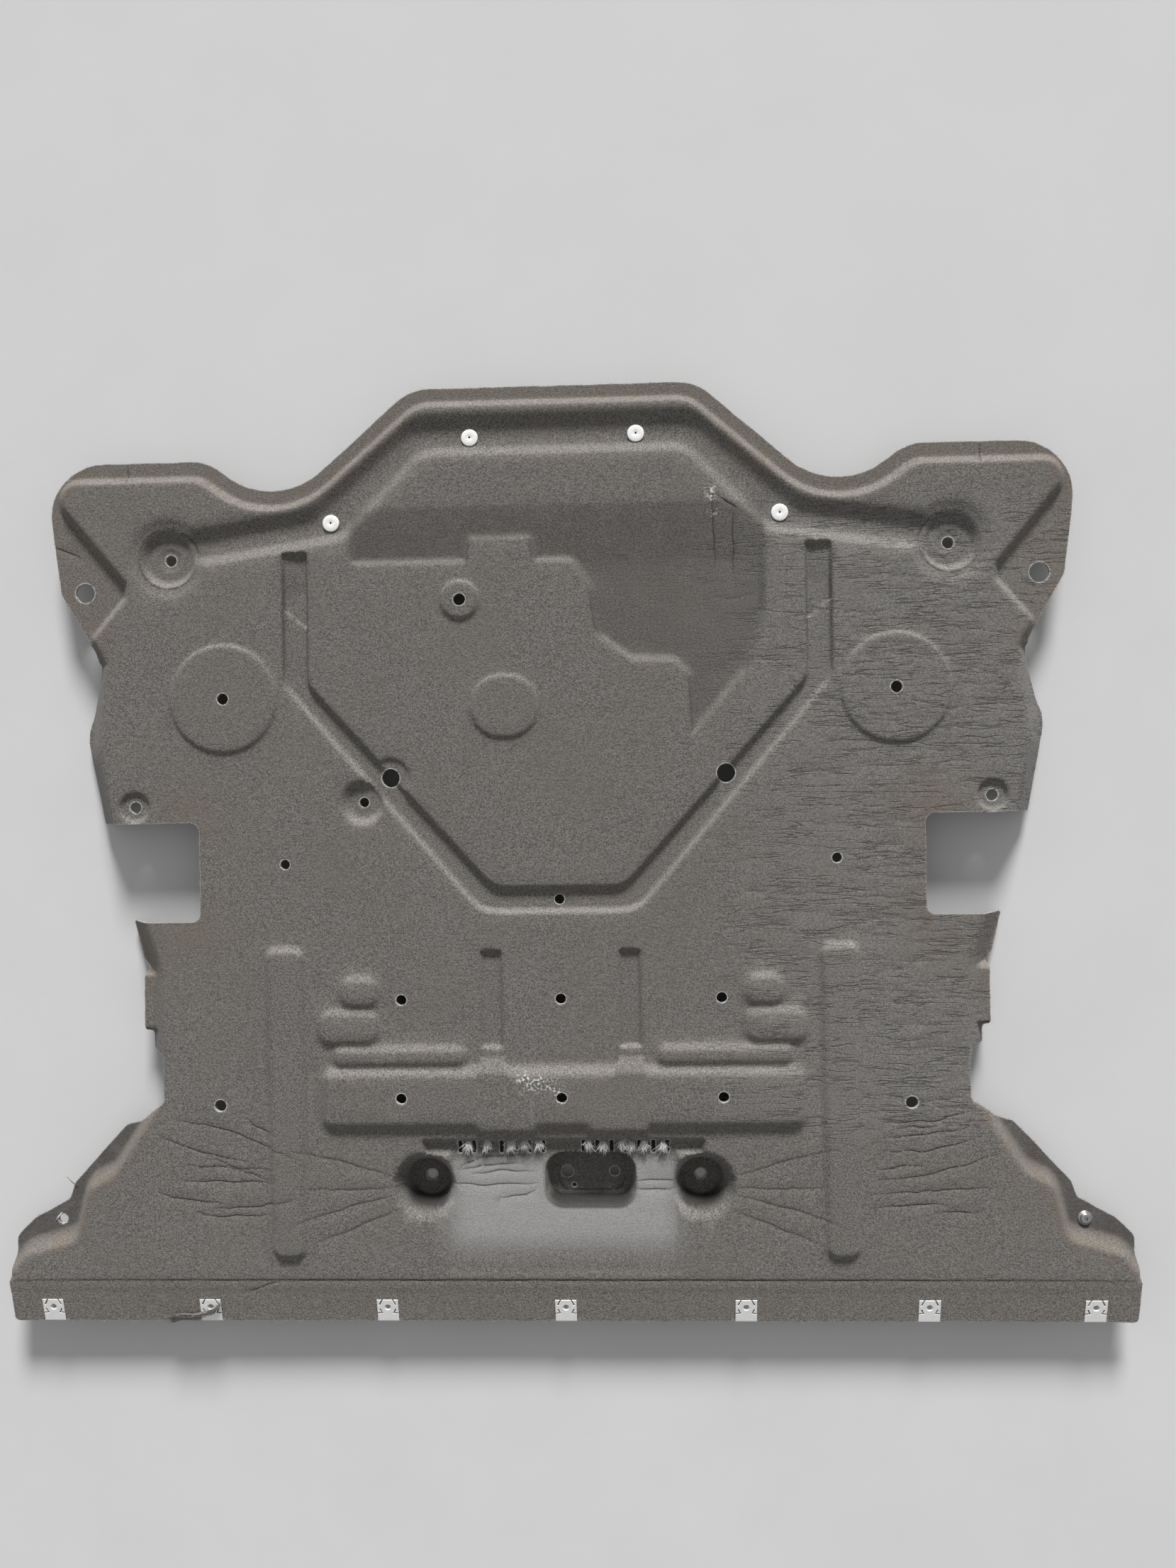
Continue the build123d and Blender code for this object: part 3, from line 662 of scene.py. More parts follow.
def holes():
    """Closed lines of every hole and slot through the felt."""
    def drill(places, diameter, count=22):
        return [circle(p, diameter / 2, count) for p in places]

    cuts = drill(ROWS, BOLT_HOLE)
    cuts += drill(both(LOBE_CUP, FRONT_CUP, SEAT, DISC), CUP_HOLE)
    cuts += drill(both(SIDE_BOLT) + [STUD, MIDDLE_HOLE], SIDE_HOLE)
    cuts += drill(both(JACK), JACK_HOLE, 30)
    cuts += drill(both(LOBE_SIDE), LOBE_SIDE_HOLE, 30)
    cuts += drill(both(SMALL) + [GROOVE_SEAT, POCKET, MIDDLE_PIN], SMALL_HOLE)
    cuts += drill([MIDDLE_PRICK], PIN_HOLE, 12)
    cuts += drill([(-WING_HOLE[0], WING_HOLE[1])], SMALL_HOLE)
    cuts += drill([WING_HOLE], SCREW_HOLE, 16)
    cuts += drill(RIVETS, RIVET_HOLE, 16)
    hole_up = CLIP_SEAT - CLIP_SHEET + CLIP_LENGTH - CLIP_HOLE_FROM_TOP
    place = FRONT + hole_up * math.cos(STRIP_ANGLE)
    half = CLIP_WINDOW / 2
    for x in CLIP_X:
        window = box_corners(x - half, x + half, place - half, place + half, 1)
        cuts.append(loop_of(window, math.radians(45)))
    half = VENT_SLOT_WIDTH / 2
    low, high = VENT_FRONT + VENT_SLOT_INSET, VENT_REAR - VENT_SLOT_INSET
    for x in VENT_X:
        slot = box_corners(x - half, x + half, low, high, 1.8)
        cuts.append(loop_of(slot, math.radians(30)))
    return cuts


def outline_corners():
    """The plan outline with a shallow notch at each clip nut."""
    half = CLIP_WIDTH / 2 + CLIP_NOTCH
    edge = [(SIDE, FRONT, 5)]
    for x in reversed(CLIP_X):
        edge += [(x + half, FRONT, 1), (x + half, FRONT + CLIP_NOTCH, 1)]
        edge += [(x - half, FRONT + CLIP_NOTCH, 1), (x - half, FRONT, 1)]
    edge.append((-SIDE, FRONT, 5))
    return OUTLINE_HALF + edge + flipped(OUTLINE_HALF)


def spaced(loop, step):
    """Points along a closed line, no further apart than a step, with outward normals."""
    places, normals = [], []
    area = (loop[:, 0] * np.roll(loop[:, 1], -1) - np.roll(loop[:, 0], -1) * loop[:, 1]).sum()
    side = 1 if area > 0 else -1
    for start, end in zip(loop, np.roll(loop, -1, 0)):
        span = end - start
        length = np.linalg.norm(span)
        if length < 1e-6:
            continue
        count = max(1, math.ceil(length / step))
        normal = np.array((span[1], -span[0])) / length * side
        for i in range(count):
            places.append(start + span * i / count)
            normals.append(normal)
    return np.array(places), np.array(normals)


def wear_and_highlight(loop, seed, amount):
    """A cut line that no longer runs quite true."""
    places, normals = spaced(loop, 4.0)
    uneven = wave(places, seed, 60.0) * 0.6 + wave(places, seed + 1, 14.0) * 0.4
    return places - normals * np.maximum(0, amount * (0.6 + uneven))[:, None]


class Thinner:
    """Takes points one by one and drops those too near to one already taken."""

    def __init__(self, cell):
        self.cell = cell
        self.grid = {}
        self.points = []

    def keep(self, point):
        """Take a point whatever lies near it."""
        key = (int(point[0] // self.cell), int(point[1] // self.cell))
        self.grid.setdefault(key, []).append((point[0], point[1]))
        self.points.append((point[0], point[1]))

    def add(self, point, gap):
        """Take a point if nothing lies within the gap."""
        cx, cy = int(point[0] // self.cell), int(point[1] // self.cell)
        reach = math.ceil(gap / self.cell)
        for i in range(cx - reach, cx + reach + 1):
            for j in range(cy - reach, cy + reach + 1):
                for x, y in self.grid.get((i, j), ()):
                    if (x - point[0]) ** 2 + (y - point[1]) ** 2 < gap * gap:
                        return
        self.keep(point)


def through(places, cut_loops):
    """Which places lie inside the outline and outside every hole."""
    kept = inside(places, cut_loops[0])
    for loop in cut_loops[1:]:
        low, high = loop.min(0), loop.max(0)
        near = kept & ((places > low) & (places < high)).all(1)
        kept[near] &= ~inside(places[near], loop)
    return kept


def rim_rows(shapes):
    """Every rim line with the offsets at which rows of points run beside it."""
    rows = []
    for corners, fall, draft, _ in ZONES:
        run = fall * math.tan(draft)
        steps = max(2, round(run / 4))
        wall = [run * i / steps for i in range(steps + 1)]
        rows.append((loop_of(corners), [-5.0, -2.2] + wall + [run + 1.6, run + 4.0]))
    for corners in (STEP_BOX, flipped(STEP_BOX)):
        rows.append((loop_of(corners), [-3.0, 0.0, 2.5, 5.0, 8.0]))
    return rows + [(shape.loop, shape.offsets()) for shape in shapes]


def sample_points(shapes, folds, cut_loops, settings):
    """Plan points of the felt: its cut edges, rows beside every fold and rim, and a lattice between."""
    thin = Thinner(3.0)
    edges = []
    step, gap = settings.row_step, settings.row_gap
    for loop in cut_loops:
        first = len(thin.points)
        places, _ = spaced(loop, step)
        for place in places:
            thin.keep(place)
        count = len(places)
        edges += [(first + i, first + (i + 1) % count) for i in range(count)]
    candidates = []
    for offset in (0, -1, 1, -2.6, 2.6):
        for fold in folds:
            candidates.append((fold.points + fold.side * offset * fold.width, 0.6))
    for loop, offsets in rim_rows(shapes):
        places, normals = spaced(loop, step)
        for offset in sorted(offsets, key=abs):
            candidates.append((places + normals * offset, gap))
    for loop in cut_loops:
        places, normals = spaced(loop, step)
        for distance in (1.6, 4.0):
            inward = -normals if loop is cut_loops[0] else normals
            candidates.append((places + inward * distance, gap))
    pitch = settings.lattice
    gx, gy = np.meshgrid(np.arange(-SIDE, SIDE, pitch), np.arange(FRONT, REAR, pitch))
    gx[1::2] += pitch / 2
    candidates.append((np.column_stack((gx.ravel(), gy.ravel())), pitch * 0.62))
    places = np.concatenate([group for group, _ in candidates])
    gaps = np.concatenate([np.full(len(group), apart) for group, apart in candidates])
    for index in np.flatnonzero(through(places, cut_loops)):
        thin.add(places[index], gaps[index])
    return np.array(thin.points), edges


def triangulate(points, edges, cut_loops):
    """Triangles between the cut edges, as indices into the points that come back."""
    result = geometry.delaunay_2d_cdt([Vector(p) for p in points], edges, [], 0, 1e-5, False)
    plan = np.array([tuple(v) for v in result[0]])
    faces = np.array([tuple(f) for f in result[2]])
    faces = faces[through(plan[faces].mean(1), cut_loops)]
    a, b, c = plan[faces[:, 0]], plan[faces[:, 1]], plan[faces[:, 2]]
    turn = (b[:, 0] - a[:, 0]) * (c[:, 1] - a[:, 1]) - (b[:, 1] - a[:, 1]) * (c[:, 0] - a[:, 0])
    faces[turn < 0] = faces[turn < 0][:, ::-1]
    return plan, faces


def boundary_edges(faces):
    """Directed edges that belong to one triangle only."""
    edges = np.concatenate((faces[:, [0, 1]], faces[:, [1, 2]], faces[:, [2, 0]]))
    _, first, count = np.unique(np.sort(edges, 1), axis=0, return_index=True, return_counts=True)
    return edges[first[count == 1]]


def near_places(plan, places, radius):
    """A soft mask that is 1 at the places and 0 beyond the radius."""
    mask = np.zeros(len(plan))
    for x, y in places:
        distance = np.hypot(plan[:, 0] - x, plan[:, 1] - y)
        mask = np.maximum(mask, 1 - smooth_step(0, radius, distance))
    return mask


def felt_masks(plan, dips, slopes, cut_loops):
    """Where the felt is cut, folded, wrinkled, dusty, dirty or chipped, and where shade and highlights are
    painted.
    """
    x, y = plan[:, 0], plan[:, 1]
    nearest = np.full(len(plan), FAR)
    for loop in cut_loops:
        low, high = loop.min(0) - RIM_REACH, loop.max(0) + RIM_REACH
        near = ((plan > low) & (plan < high)).all(1)
        nearest[near] = np.minimum(nearest[near], segment_distance(plan[near], loop, np.roll(loop, -1, 0)))
    right = smooth_step(*WRINKLE_X, x) * smooth_step(*WRINKLE_FRONT, y) * (1 - smooth_step(*WRINKLE_REAR, y))
    # Dust on the ramp between the front cups, also painted light on its slope facing the key light
    ramp = (1 - smooth_step(*DUST_X, np.abs(x))) * smooth_step(*DUST_FRONT, y)
    ramp *= 1 - smooth_step(*DUST_REAR, y)
    dirt = near_places(plan, DIRT_PLACES, DIRT_REACH) * 0.6
    edge = 1 - smooth_step(*GRIME_INSET, signed_distance(plan, cut_loops[0]) * -1)
    rear = edge * smooth_step(*GRIME_FRONT, y) * 0.5
    strip = 1 - smooth_step(CREASE - 4, CREASE - 1, y)
    # Painted shade in the plate's recess and on the outer wing flanges; brown dirt along the wings'
    # shoulders
    recess = 0.45 * (1 - smooth_step(-3, 3, signed_distance(plan, loop_of(PLATE))))
    shoulder = signed_distance(plan, loop_of(WINGS))
    front = (1 - smooth_step(*WING_REAR, y)) * smooth_step(CREASE, CREASE + 12, y)
    wing = 0.75 * smooth_step(3, 13, shoulder) * front
    brown = 0.6 * np.exp(-((shoulder - 1) / 9) ** 2) * front
    # The front and middle cups: painted shade inside them, kept free of painted highlight and dust
    cup = np.zeros(len(plan))
    cups = [circle(p, FRONT_CUP_RADIUS) for p in both(FRONT_CUP)]
    for loop in cups + [loop_of(shifted(MIDDLE_BOX, MIDDLE_CUP))]:
        cup = np.maximum(cup, 1 - smooth_step(-1, 2.5, signed_distance(plan, loop)))
    # Painted highlight on slopes facing the key light, weaker on the wings, and painted light on the front
    # strip
    light = np.maximum(0.8 * smooth_step(0.15, 0.6, slopes) * (1 - 0.7 * front), 0.9 * strip) * (1 - cup)
    # Painted shade on the cup walls that face the key light
    wall = cup * smooth_step(0.2, 0.7, slopes)
    chips = near_places(plan, CHIP_PLACES, CHIP_REACH)
    chips = np.maximum(chips, near_places(plan, TEAR_PLACES, TEAR_REACH))
    return {
        "rim": np.exp(-nearest / 1.1) * (1 - 0.4 * (edge > 0.99)),
        # Fold depth and cup walls, for the painted shade in creases and cups
        "fold": np.maximum(np.clip(dips / 0.8, 0, 1), 1.25 * wall),
        "wrinkle": np.clip(0.12 + right, 0, 1),
        "dust_and_light": np.maximum(0.9 * ramp, 0.12 * right) * (1 - cup),
        "dirt": np.max((dirt, rear, brown), axis=0),
        "shade": np.max((recess, wing, 0.15 * cup), axis=0),
        "light": light,
        "chips": chips,
    }


def make_object(name, verts, faces, material=None):
    """A smooth mesh object at the origin."""
    mesh = bpy.data.meshes.new(name)
    mesh.from_pydata(verts, [], faces)
    if material:
        mesh.materials.append(material)
    mesh.polygons.foreach_set("use_smooth", np.ones(len(mesh.polygons), bool))
    mesh.update()
    obj = bpy.data.objects.new(name, mesh)
    bpy.context.scene.collection.objects.link(obj)
    return obj


class Shell:
    """Vertices and faces of a small mesh under way, in millimetres."""

    def __init__(self):
        self.verts = []
        self.faces = []

    def add(self, verts, faces):
        """Take in more vertices and the faces between them."""
        base = len(self.verts)
        self.verts += [tuple(v) for v in verts]
        self.faces += [[base + i for i in face] for face in faces]

    def lathe(self, profile, count=32):
        """A turned shape from (radius, height) points, listed from the top down."""
        angles = [2 * math.pi * i / count for i in range(count)]
        rings, verts = [], []
        for radius, z in profile:
            turns = angles if radius else [0.0]
            rings.append([len(verts) + i for i in range(len(turns))])
            verts += [(radius * math.cos(a), radius * math.sin(a), z) for a in turns]
        faces = []
        for upper, lower in zip(rings, rings[1:]):
            for i in range(count):
                j = (i + 1) % count
                face = [lower[i % len(lower)], lower[j % len(lower)]]
                face += [upper[j % len(upper)], upper[i % len(upper)]]
                face = list(dict.fromkeys(face))
                if len(face) > 2:
                    faces.append(face)
        self.add(verts, faces)

    def wall(self, loop, z_from, other, z_to):
        """A band between two lines with the same number of points, the material on their left."""
        count = len(loop)
        verts = [(x, y, z_from) for x, y in loop] + [(x, y, z_to) for x, y in other]
        self.add(verts, [[i, (i + 1) % count, count + (i + 1) % count, count + i] for i in range(count)])

    def plate(self, loops, low, high, bevel):
        """A flat plate with bevelled edges: the outline runs left about, its holes right about."""
        insets = [inset(loop, bevel) for loop in loops]
        points = np.concatenate(insets)
        edges, base = [], 0
        for loop in insets:
            edges += [(base + i, base + (i + 1) % len(loop)) for i in range(len(loop))]
            base += len(loop)
        plan, faces = triangulate(points, edges, insets)
        self.add(np.column_stack((plan, np.full(len(plan), high))), faces.tolist())
        self.add(np.column_stack((plan, np.full(len(plan), low))), faces[:, ::-1].tolist())
        for loop, small in zip(loops, insets):
            self.wall(small, low, loop, low + bevel)
            self.wall(loop, low + bevel, loop, high - bevel)
            self.wall(loop, high - bevel, small, high)

    def drawn(self, profile, half):
        """A closed (y, z) profile, left about as seen from +X, drawn out along X to both sides."""
        count = len(profile)
        verts = [(half, y, z) for y, z in profile] + [(-half, y, z) for y, z in profile]
        faces = [[i, count + i, count + (i + 1) % count, (i + 1) % count] for i in range(count)]
        self.add(verts, faces + [list(range(count)), list(range(2 * count - 1, count - 1, -1))])

    def tube(self, path, radii, sides=5):
        """A thin closed tube along a path, with its own radius at each point."""
        verts, faces = [], []
        for i, (place, radius) in enumerate(zip(path, radii)):
            ahead = Vector(path[min(i + 1, len(path) - 1)]) - Vector(path[max(i - 1, 0)])
            turn = ahead.to_track_quat("Z", "Y")
            for k in range(sides):
                angle = 2 * math.pi * k / sides
                spoke = turn @ Vector((math.cos(angle), math.sin(angle), 0)) * radius
                verts.append(Vector(place) + spoke)
        for i in range(len(path) - 1):
            for k in range(sides):
                a, b = i * sides + k, i * sides + (k + 1) % sides
                faces.append([a, b, b + sides, a + sides])
        faces += [list(range(sides - 1, -1, -1)), list(range(len(verts) - sides, len(verts)))]
        self.add(verts, faces)

    def finish(self, name, material=None, scale=MM, sharp=35):
        """The merged mesh as an object, smooth but for its sharp edges."""
        obj = make_object(name, [Vector(v) * scale for v in self.verts], self.faces, material)
        work = bmesh.new()
        work.from_mesh(obj.data)
        bmesh.ops.remove_doubles(work, verts=work.verts, dist=1e-4 * scale)
        work.to_mesh(obj.data)
        work.free()
        obj.data.set_sharp_from_angle(angle=math.radians(sharp))
        return obj


def inset(loop, amount):
    """A closed line moved to its left all round."""
    ahead = np.roll(loop, -1, 0) - loop
    ahead /= np.linalg.norm(ahead, axis=1)[:, None]
    left = np.column_stack((-ahead[:, 1], ahead[:, 0]))
    before = np.roll(left, 1, 0)
    turn = 1 + (left * before).sum(1)
    return loop + (left + before) / np.maximum(turn, 0.5)[:, None] * amount


def arc(centre, radius, start, end, count=6):
    """Points of a round bend in a (y, z) profile, angles in degrees."""
    return [(centre[0] + radius * math.cos(a), centre[1] + radius * math.sin(a))
            for a in np.radians(np.linspace(start, end, count))]


def clip_nut():
    """One spring clip nut: slit front leaf, round bend, back leaf and its nut."""
    shell = Shell()
    foot = CLIP_SEAT - CLIP_SHEET
    head = foot + CLIP_LENGTH
    half = CLIP_WIDTH / 2
    hole = head - CLIP_HOLE_FROM_TOP
    back = -FELT - CLIP_SHEET
    bend = foot + CLIP_BEND
    inner = CLIP_BEND - CLIP_SHEET
    right = [
        (half, bend), (half, head - 17.2), (5.4, head - 16.7), (8.0, head - 10.9), (9.5, head - 11.3),
        (7.4, head - 15.4), (half, head - 15.8), (half, head), (6.7, head), (9.7, head - 6.0),
        (8.2, head - 6.6), (4.9, head),
    ]
    outline = np.array(right + [(-x, y) for x, y in reversed(right)])
    round_hole = circle((0, hole), CLIP_HOLE, 28)[::-1]
    shell.plate([outline, round_hole], 0.0, CLIP_SHEET, 0.18)
    profile = arc((bend, CLIP_SHEET - CLIP_BEND), CLIP_BEND, 90, 180)
    profile += arc((bend, back + CLIP_BEND), CLIP_BEND, 180, 270) + [(head, back), (head, -FELT)]
    profile += arc((bend, back + CLIP_BEND), inner, 270, 180)
    profile += arc((bend, CLIP_SHEET - CLIP_BEND), inner, 180, 90)
    shell.drawn(profile, half)
    nut = circle((0, hole), CLIP_NUT, 6)
    shell.plate([nut, round_hole], back - CLIP_NUT_HEIGHT, back, 0.3)
    thread = Shell()
    for turn in range(7):
        z = 0.3 - turn * 1.3
        thread.lathe([(3.7, z), (2.9, z - 0.5), (3.7, z - 1.0)], 28)
    shell.add([(x, y + hole, z) for x, y, z in thread.verts], thread.faces)
    return shell.finish("clip_nut")


def push_rivet():
    """One push rivet: a shallow domed head with a pin mark, and a barbed shank."""
    shell = Shell()
    shell.lathe([
        (0, 1.0), (1.0, 1.0), (1.05, 2.3), (1.2, 2.4), (5.0, 2.4), (8.3, 2.35), (8.8, 2.15), (9.15, 1.6),
        (9.2, 0.5), (9.0, 0.0), (3.5, 0.0), (3.5, -4.3), (5.25, -4.3), (5.25, -4.9), (3.6, -9.6),
        (4.7, -9.6), (4.7, -10.2), (1.9, -15.6), (1.4, -16.0), (0, -16.0),
    ], 40)
    rivet = shell.finish("push_rivet")
    places = [vertex.co for vertex in rivet.data.vertices]
    # The pit marks the pin hole that the material fills with painted shade
    add_mask(rivet.data, "pit", [math.hypot(p.x, p.y) < PIN_MARK_RADIUS * MM and p.z > 0 for p in places])
    return rivet


def flange_screw():
    """The screw: washer flange, domed head with a star recess, threaded shank."""
    shell = Shell()
    count = 48
    angles = np.linspace(0, 2 * math.pi, count, endpoint=False)
    radius = STAR_RADIUS + STAR_WAVE * np.cos(STAR_POINTS * angles)
    star = np.column_stack((radius * np.cos(angles), radius * np.sin(angles)))
    ring = circle((0, 0), SCREW_TOP_RADIUS, count)
    edges = [(first + i, first + (i + 1) % count) for first in (0, count) for i in range(count)]
    plan, faces = triangulate(np.concatenate((ring, star)), edges, [ring, star])
    shell.add(np.column_stack((plan, np.full(len(plan), SCREW_TOP))), faces.tolist())
    shell.wall(star[::-1], STAR_FLOOR, star[::-1], SCREW_TOP)
    shell.add([(x, y, STAR_FLOOR) for x, y in star], [list(range(count))])
    profile = [
        (SCREW_TOP_RADIUS, SCREW_TOP), (4.5, 4.0), (5.1, 3.55), (5.45, 2.9), (5.5, 1.9), (5.75, 1.6),
        (7.4, 1.1), (7.7, 0.8), (7.7, 0.2), (7.5, 0.0), (3.0, 0.0), (3.0, -4.6),
    ]
    for turn in range(11):
        profile += [(2.6, -5.1 - turn), (3.0, -5.6 - turn)]
    profile += [(2.2, -17.2), (1.4, -18.0), (0, -18.0)]
    shell.lathe(profile, count)
    return shell.finish("flange_screw_one")


def strand():
    """One loose fibre, a unit long along +Z, bent and tapered."""
    shell = Shell()
    steps = np.linspace(0, 1, 5)
    shell.tube([(0.28 * t * t, 0.05 * math.sin(3 * t), t) for t in steps], 0.036 * (1 - 0.75 * steps), 3)
    return shell.finish("strand", scale=1.0, sharp=180)


def add_mask(mesh, name, values):
    """A named number on every vertex, for the material to read."""
    layer = mesh.attributes.new(name, "FLOAT", "POINT")
    layer.data.foreach_set("value", np.asarray(values, np.float32))


class Nodes:
    """Short calls for building a node tree."""

    def __init__(self, tree):
        self.tree = tree

    def new(self, kind, values=None, **settings):
        """A node with its settings, and its inputs set or linked."""
        node = self.tree.nodes.new(kind)
        for key, value in settings.items():
            setattr(node, key, value)
        for key, value in (values or {}).items():
            if isinstance(value, bpy.types.NodeSocket):
                self.tree.links.new(value, node.inputs[key])
            else:
                node.inputs[key].default_value = value
        return node

    def product(self, a, b):
        """Two values multiplied."""
        return self.math("MULTIPLY", a, b)

    def math(self, operation, a, b=0.0):
        """One sum on two values."""
        return self.new("ShaderNodeMath", {0: a, 1: b}, operation=operation).outputs[0]

    def mix(self, factor, a, b, blend="MIX"):
        """A blend from one colour to another."""
        colours = [value if isinstance(value, bpy.types.NodeSocket) else (*value, 1) for value in (a, b)]
        values = {0: factor, 6: colours[0], 7: colours[1]}
        node = self.new("ShaderNodeMix", values, data_type="RGBA", blend_type=blend)
        return node.outputs[2]

    def ramp(self, value, low, high, start=0.0, end=1.0):
        """A smooth step between two values."""
        node = self.new("ShaderNodeMapRange", {0: value, 1: low, 2: high, 3: start, 4: end},
                        interpolation_type="SMOOTHSTEP")
        return node.outputs[0]

    def noise(self, vector, scale, detail=3.0, roughness=0.6):
        """An uneven cloud."""
        values = {"Vector": vector, "Scale": scale, "Detail": detail, "Roughness": roughness}
        return self.new("ShaderNodeTexNoise", values).outputs["Fac"]

    def stretched(self, vector, scale, turn=0.0):
        """Coordinates drawn out and turned about the upright axis."""
        values = {"Vector": vector, "Scale": scale, "Rotation": (0, 0, turn)}
        return self.new("ShaderNodeMapping", values).outputs[0]

    def mask(self, name):
        """A named number from the mesh."""
        return self.new("ShaderNodeAttribute", attribute_name=name).outputs["Fac"]

    def bump(self, height, strength, distance, below=None):
        """Fine relief on top of another."""
        values = {"Height": height, "Strength": strength, "Distance": distance}
        if below:
            values["Normal"] = below
        return self.new("ShaderNodeBump", values).outputs[0]


def shader(name):
    """A new material: its node builder, its surface shader and its Object coordinates."""
    material = bpy.data.materials.new(name)
    material.use_nodes = True
    nodes = Nodes(material.node_tree)
    surface = material.node_tree.nodes["Principled BSDF"]
    place = nodes.new("ShaderNodeTexCoord").outputs["Object"]
    return material, nodes, surface, place


def felt_material(settings):
    """Needled felt: short light and dark fibres, creases, dust, dirt and pale cut rims, with painted shade
    and highlights.
    """
    material, nodes, surface, place = shader("needled_felt")
    dashes = nodes.noise(nodes.stretched(place, (420, 760, 560)), 1.0, 3.0, 0.75)
    strands = nodes.noise(nodes.stretched(place, (980, 430, 640), 0.3), 1.0, 3.0, 0.75)
    speck = nodes.noise(place, 1300, 2.0, 0.5)
    grain = nodes.math("ADD", nodes.product(dashes, 0.5), nodes.product(strands, 0.5))
    patch = nodes.noise(place, 11, 5.0, 0.65)
    colour = nodes.mix(nodes.ramp(grain, 0.38, 0.63), settings.dark_fibre_and_shade, settings.light_fibre)
    colour = nodes.mix(nodes.ramp(patch, 0.40, 0.75, 0.0, 0.35), colour, settings.warm_fibre)
    colour = nodes.mix(nodes.ramp(speck, 0.62, 0.76, 0.0, 0.6), colour, settings.pale_fibre)
    # Painted highlight: slopes facing the key light and the front strip are made lighter
    colour = nodes.mix(nodes.mask("light"), colour, settings.wear_and_highlight, "MULTIPLY")
    # Painted shade in the plate's recess, on the outer wing flanges and in the cups
    dark = nodes.product(nodes.mask("shade"), nodes.ramp(nodes.noise(place, 40), 0.1, 0.7, 0.5, 1.0))
    colour = nodes.mix(dark, colour, settings.dark_fibre_and_shade)
    # Dust, with painted light on the ramp between the front cups
    powder = nodes.ramp(nodes.noise(place, 480, 3.0, 0.7), 0.2, 0.7, 0.45, 1.0)
    dust_and_light = nodes.product(nodes.mask("dust_and_light"), powder)
    colour = nodes.mix(dust_and_light, colour, settings.dust_and_light)
    dirt = nodes.product(nodes.mask("dirt"), nodes.ramp(nodes.noise(place, 60, 4.0, 0.65), 0.25, 0.7))
    colour = nodes.mix(dirt, colour, settings.dirt)
    flecks = nodes.product(nodes.mask("chips"), nodes.ramp(nodes.noise(place, 330, 2.0, 0.5), 0.56, 0.60))
    colour = nodes.mix(flecks, colour, settings.tuft)

    # Fine wrinkles lie where a flattened noise passes its middle value
    wander = nodes.noise(nodes.stretched(place, (17, 150, 60)), 1.0, 2.5, 0.55)
    middle = nodes.math("ABSOLUTE", nodes.math("SUBTRACT", wander, 0.5))
    broken = nodes.ramp(nodes.noise(nodes.stretched(place, (26, 60, 40)), 1.0, 2.0, 0.5), 0.38, 0.58)
    line = nodes.product(nodes.ramp(middle, 0.0, 0.05, 1.0, 0.0), broken)
    wrinkle = nodes.product(line, nodes.mask("wrinkle"))
    # Painted shade deep in folds, in the fine wrinkle lines and on the cup walls
    fold = nodes.product(nodes.mask("fold"), 0.7)
    crease = nodes.math("MAXIMUM", nodes.product(wrinkle, 0.35), fold)
    colour = nodes.mix(crease, colour, settings.crease_shade)

    # Torn pale fibres along the cut edges
    torn = nodes.ramp(nodes.noise(place, 420, 3.0, 0.7), 0.30, 0.62)
    rim = nodes.product(nodes.ramp(nodes.mask("rim"), 0.25, 0.85), torn)
    colour = nodes.mix(rim, colour, settings.cut_rim)
    nodes.tree.links.new(colour, surface.inputs["Base Color"])
    surface.inputs["Roughness"].default_value = 0.95
    surface.inputs["Specular IOR Level"].default_value = 0.1
    surface.inputs["Sheen Weight"].default_value = 0.08
    surface.inputs["Sheen Roughness"].default_value = 0.6
    height = nodes.math("ADD", nodes.product(grain, 0.8), nodes.product(speck, 0.35))
    fibres = nodes.bump(height, 1.0, 0.0008)
    folds = nodes.bump(nodes.product(wrinkle, -1.0), 0.7, 0.0008, fibres)
    nodes.tree.links.new(folds, surface.inputs["Normal"])
    return material


def plain_material(name, colour, spread, scale, roughness, metallic=0.0, pit=None):
    """One colour with an uneven tone, and painted shade in a pit: plated metal, nylon or loose fibre."""
    material, nodes, surface, place = shader(name)
    cloud = nodes.noise(place, scale, 4.0)
    darker = tuple(c * (1 - spread) for c in colour)
    tone = nodes.mix(nodes.ramp(cloud, 0.3, 0.7), darker, colour)
    if pit:
        tone = nodes.mix(nodes.mask("pit"), tone, pit)
    nodes.tree.links.new(tone, surface.inputs["Base Color"])
    polish = nodes.ramp(cloud, 0.2, 0.8, roughness - 0.06, roughness + 0.08)
    nodes.tree.links.new(polish, surface.inputs["Roughness"])
    surface.inputs["Metallic"].default_value = metallic
    nodes.tree.links.new(nodes.bump(nodes.noise(place, 1400, 2.0), 0.12, 0.0002), surface.inputs["Normal"])
    return material


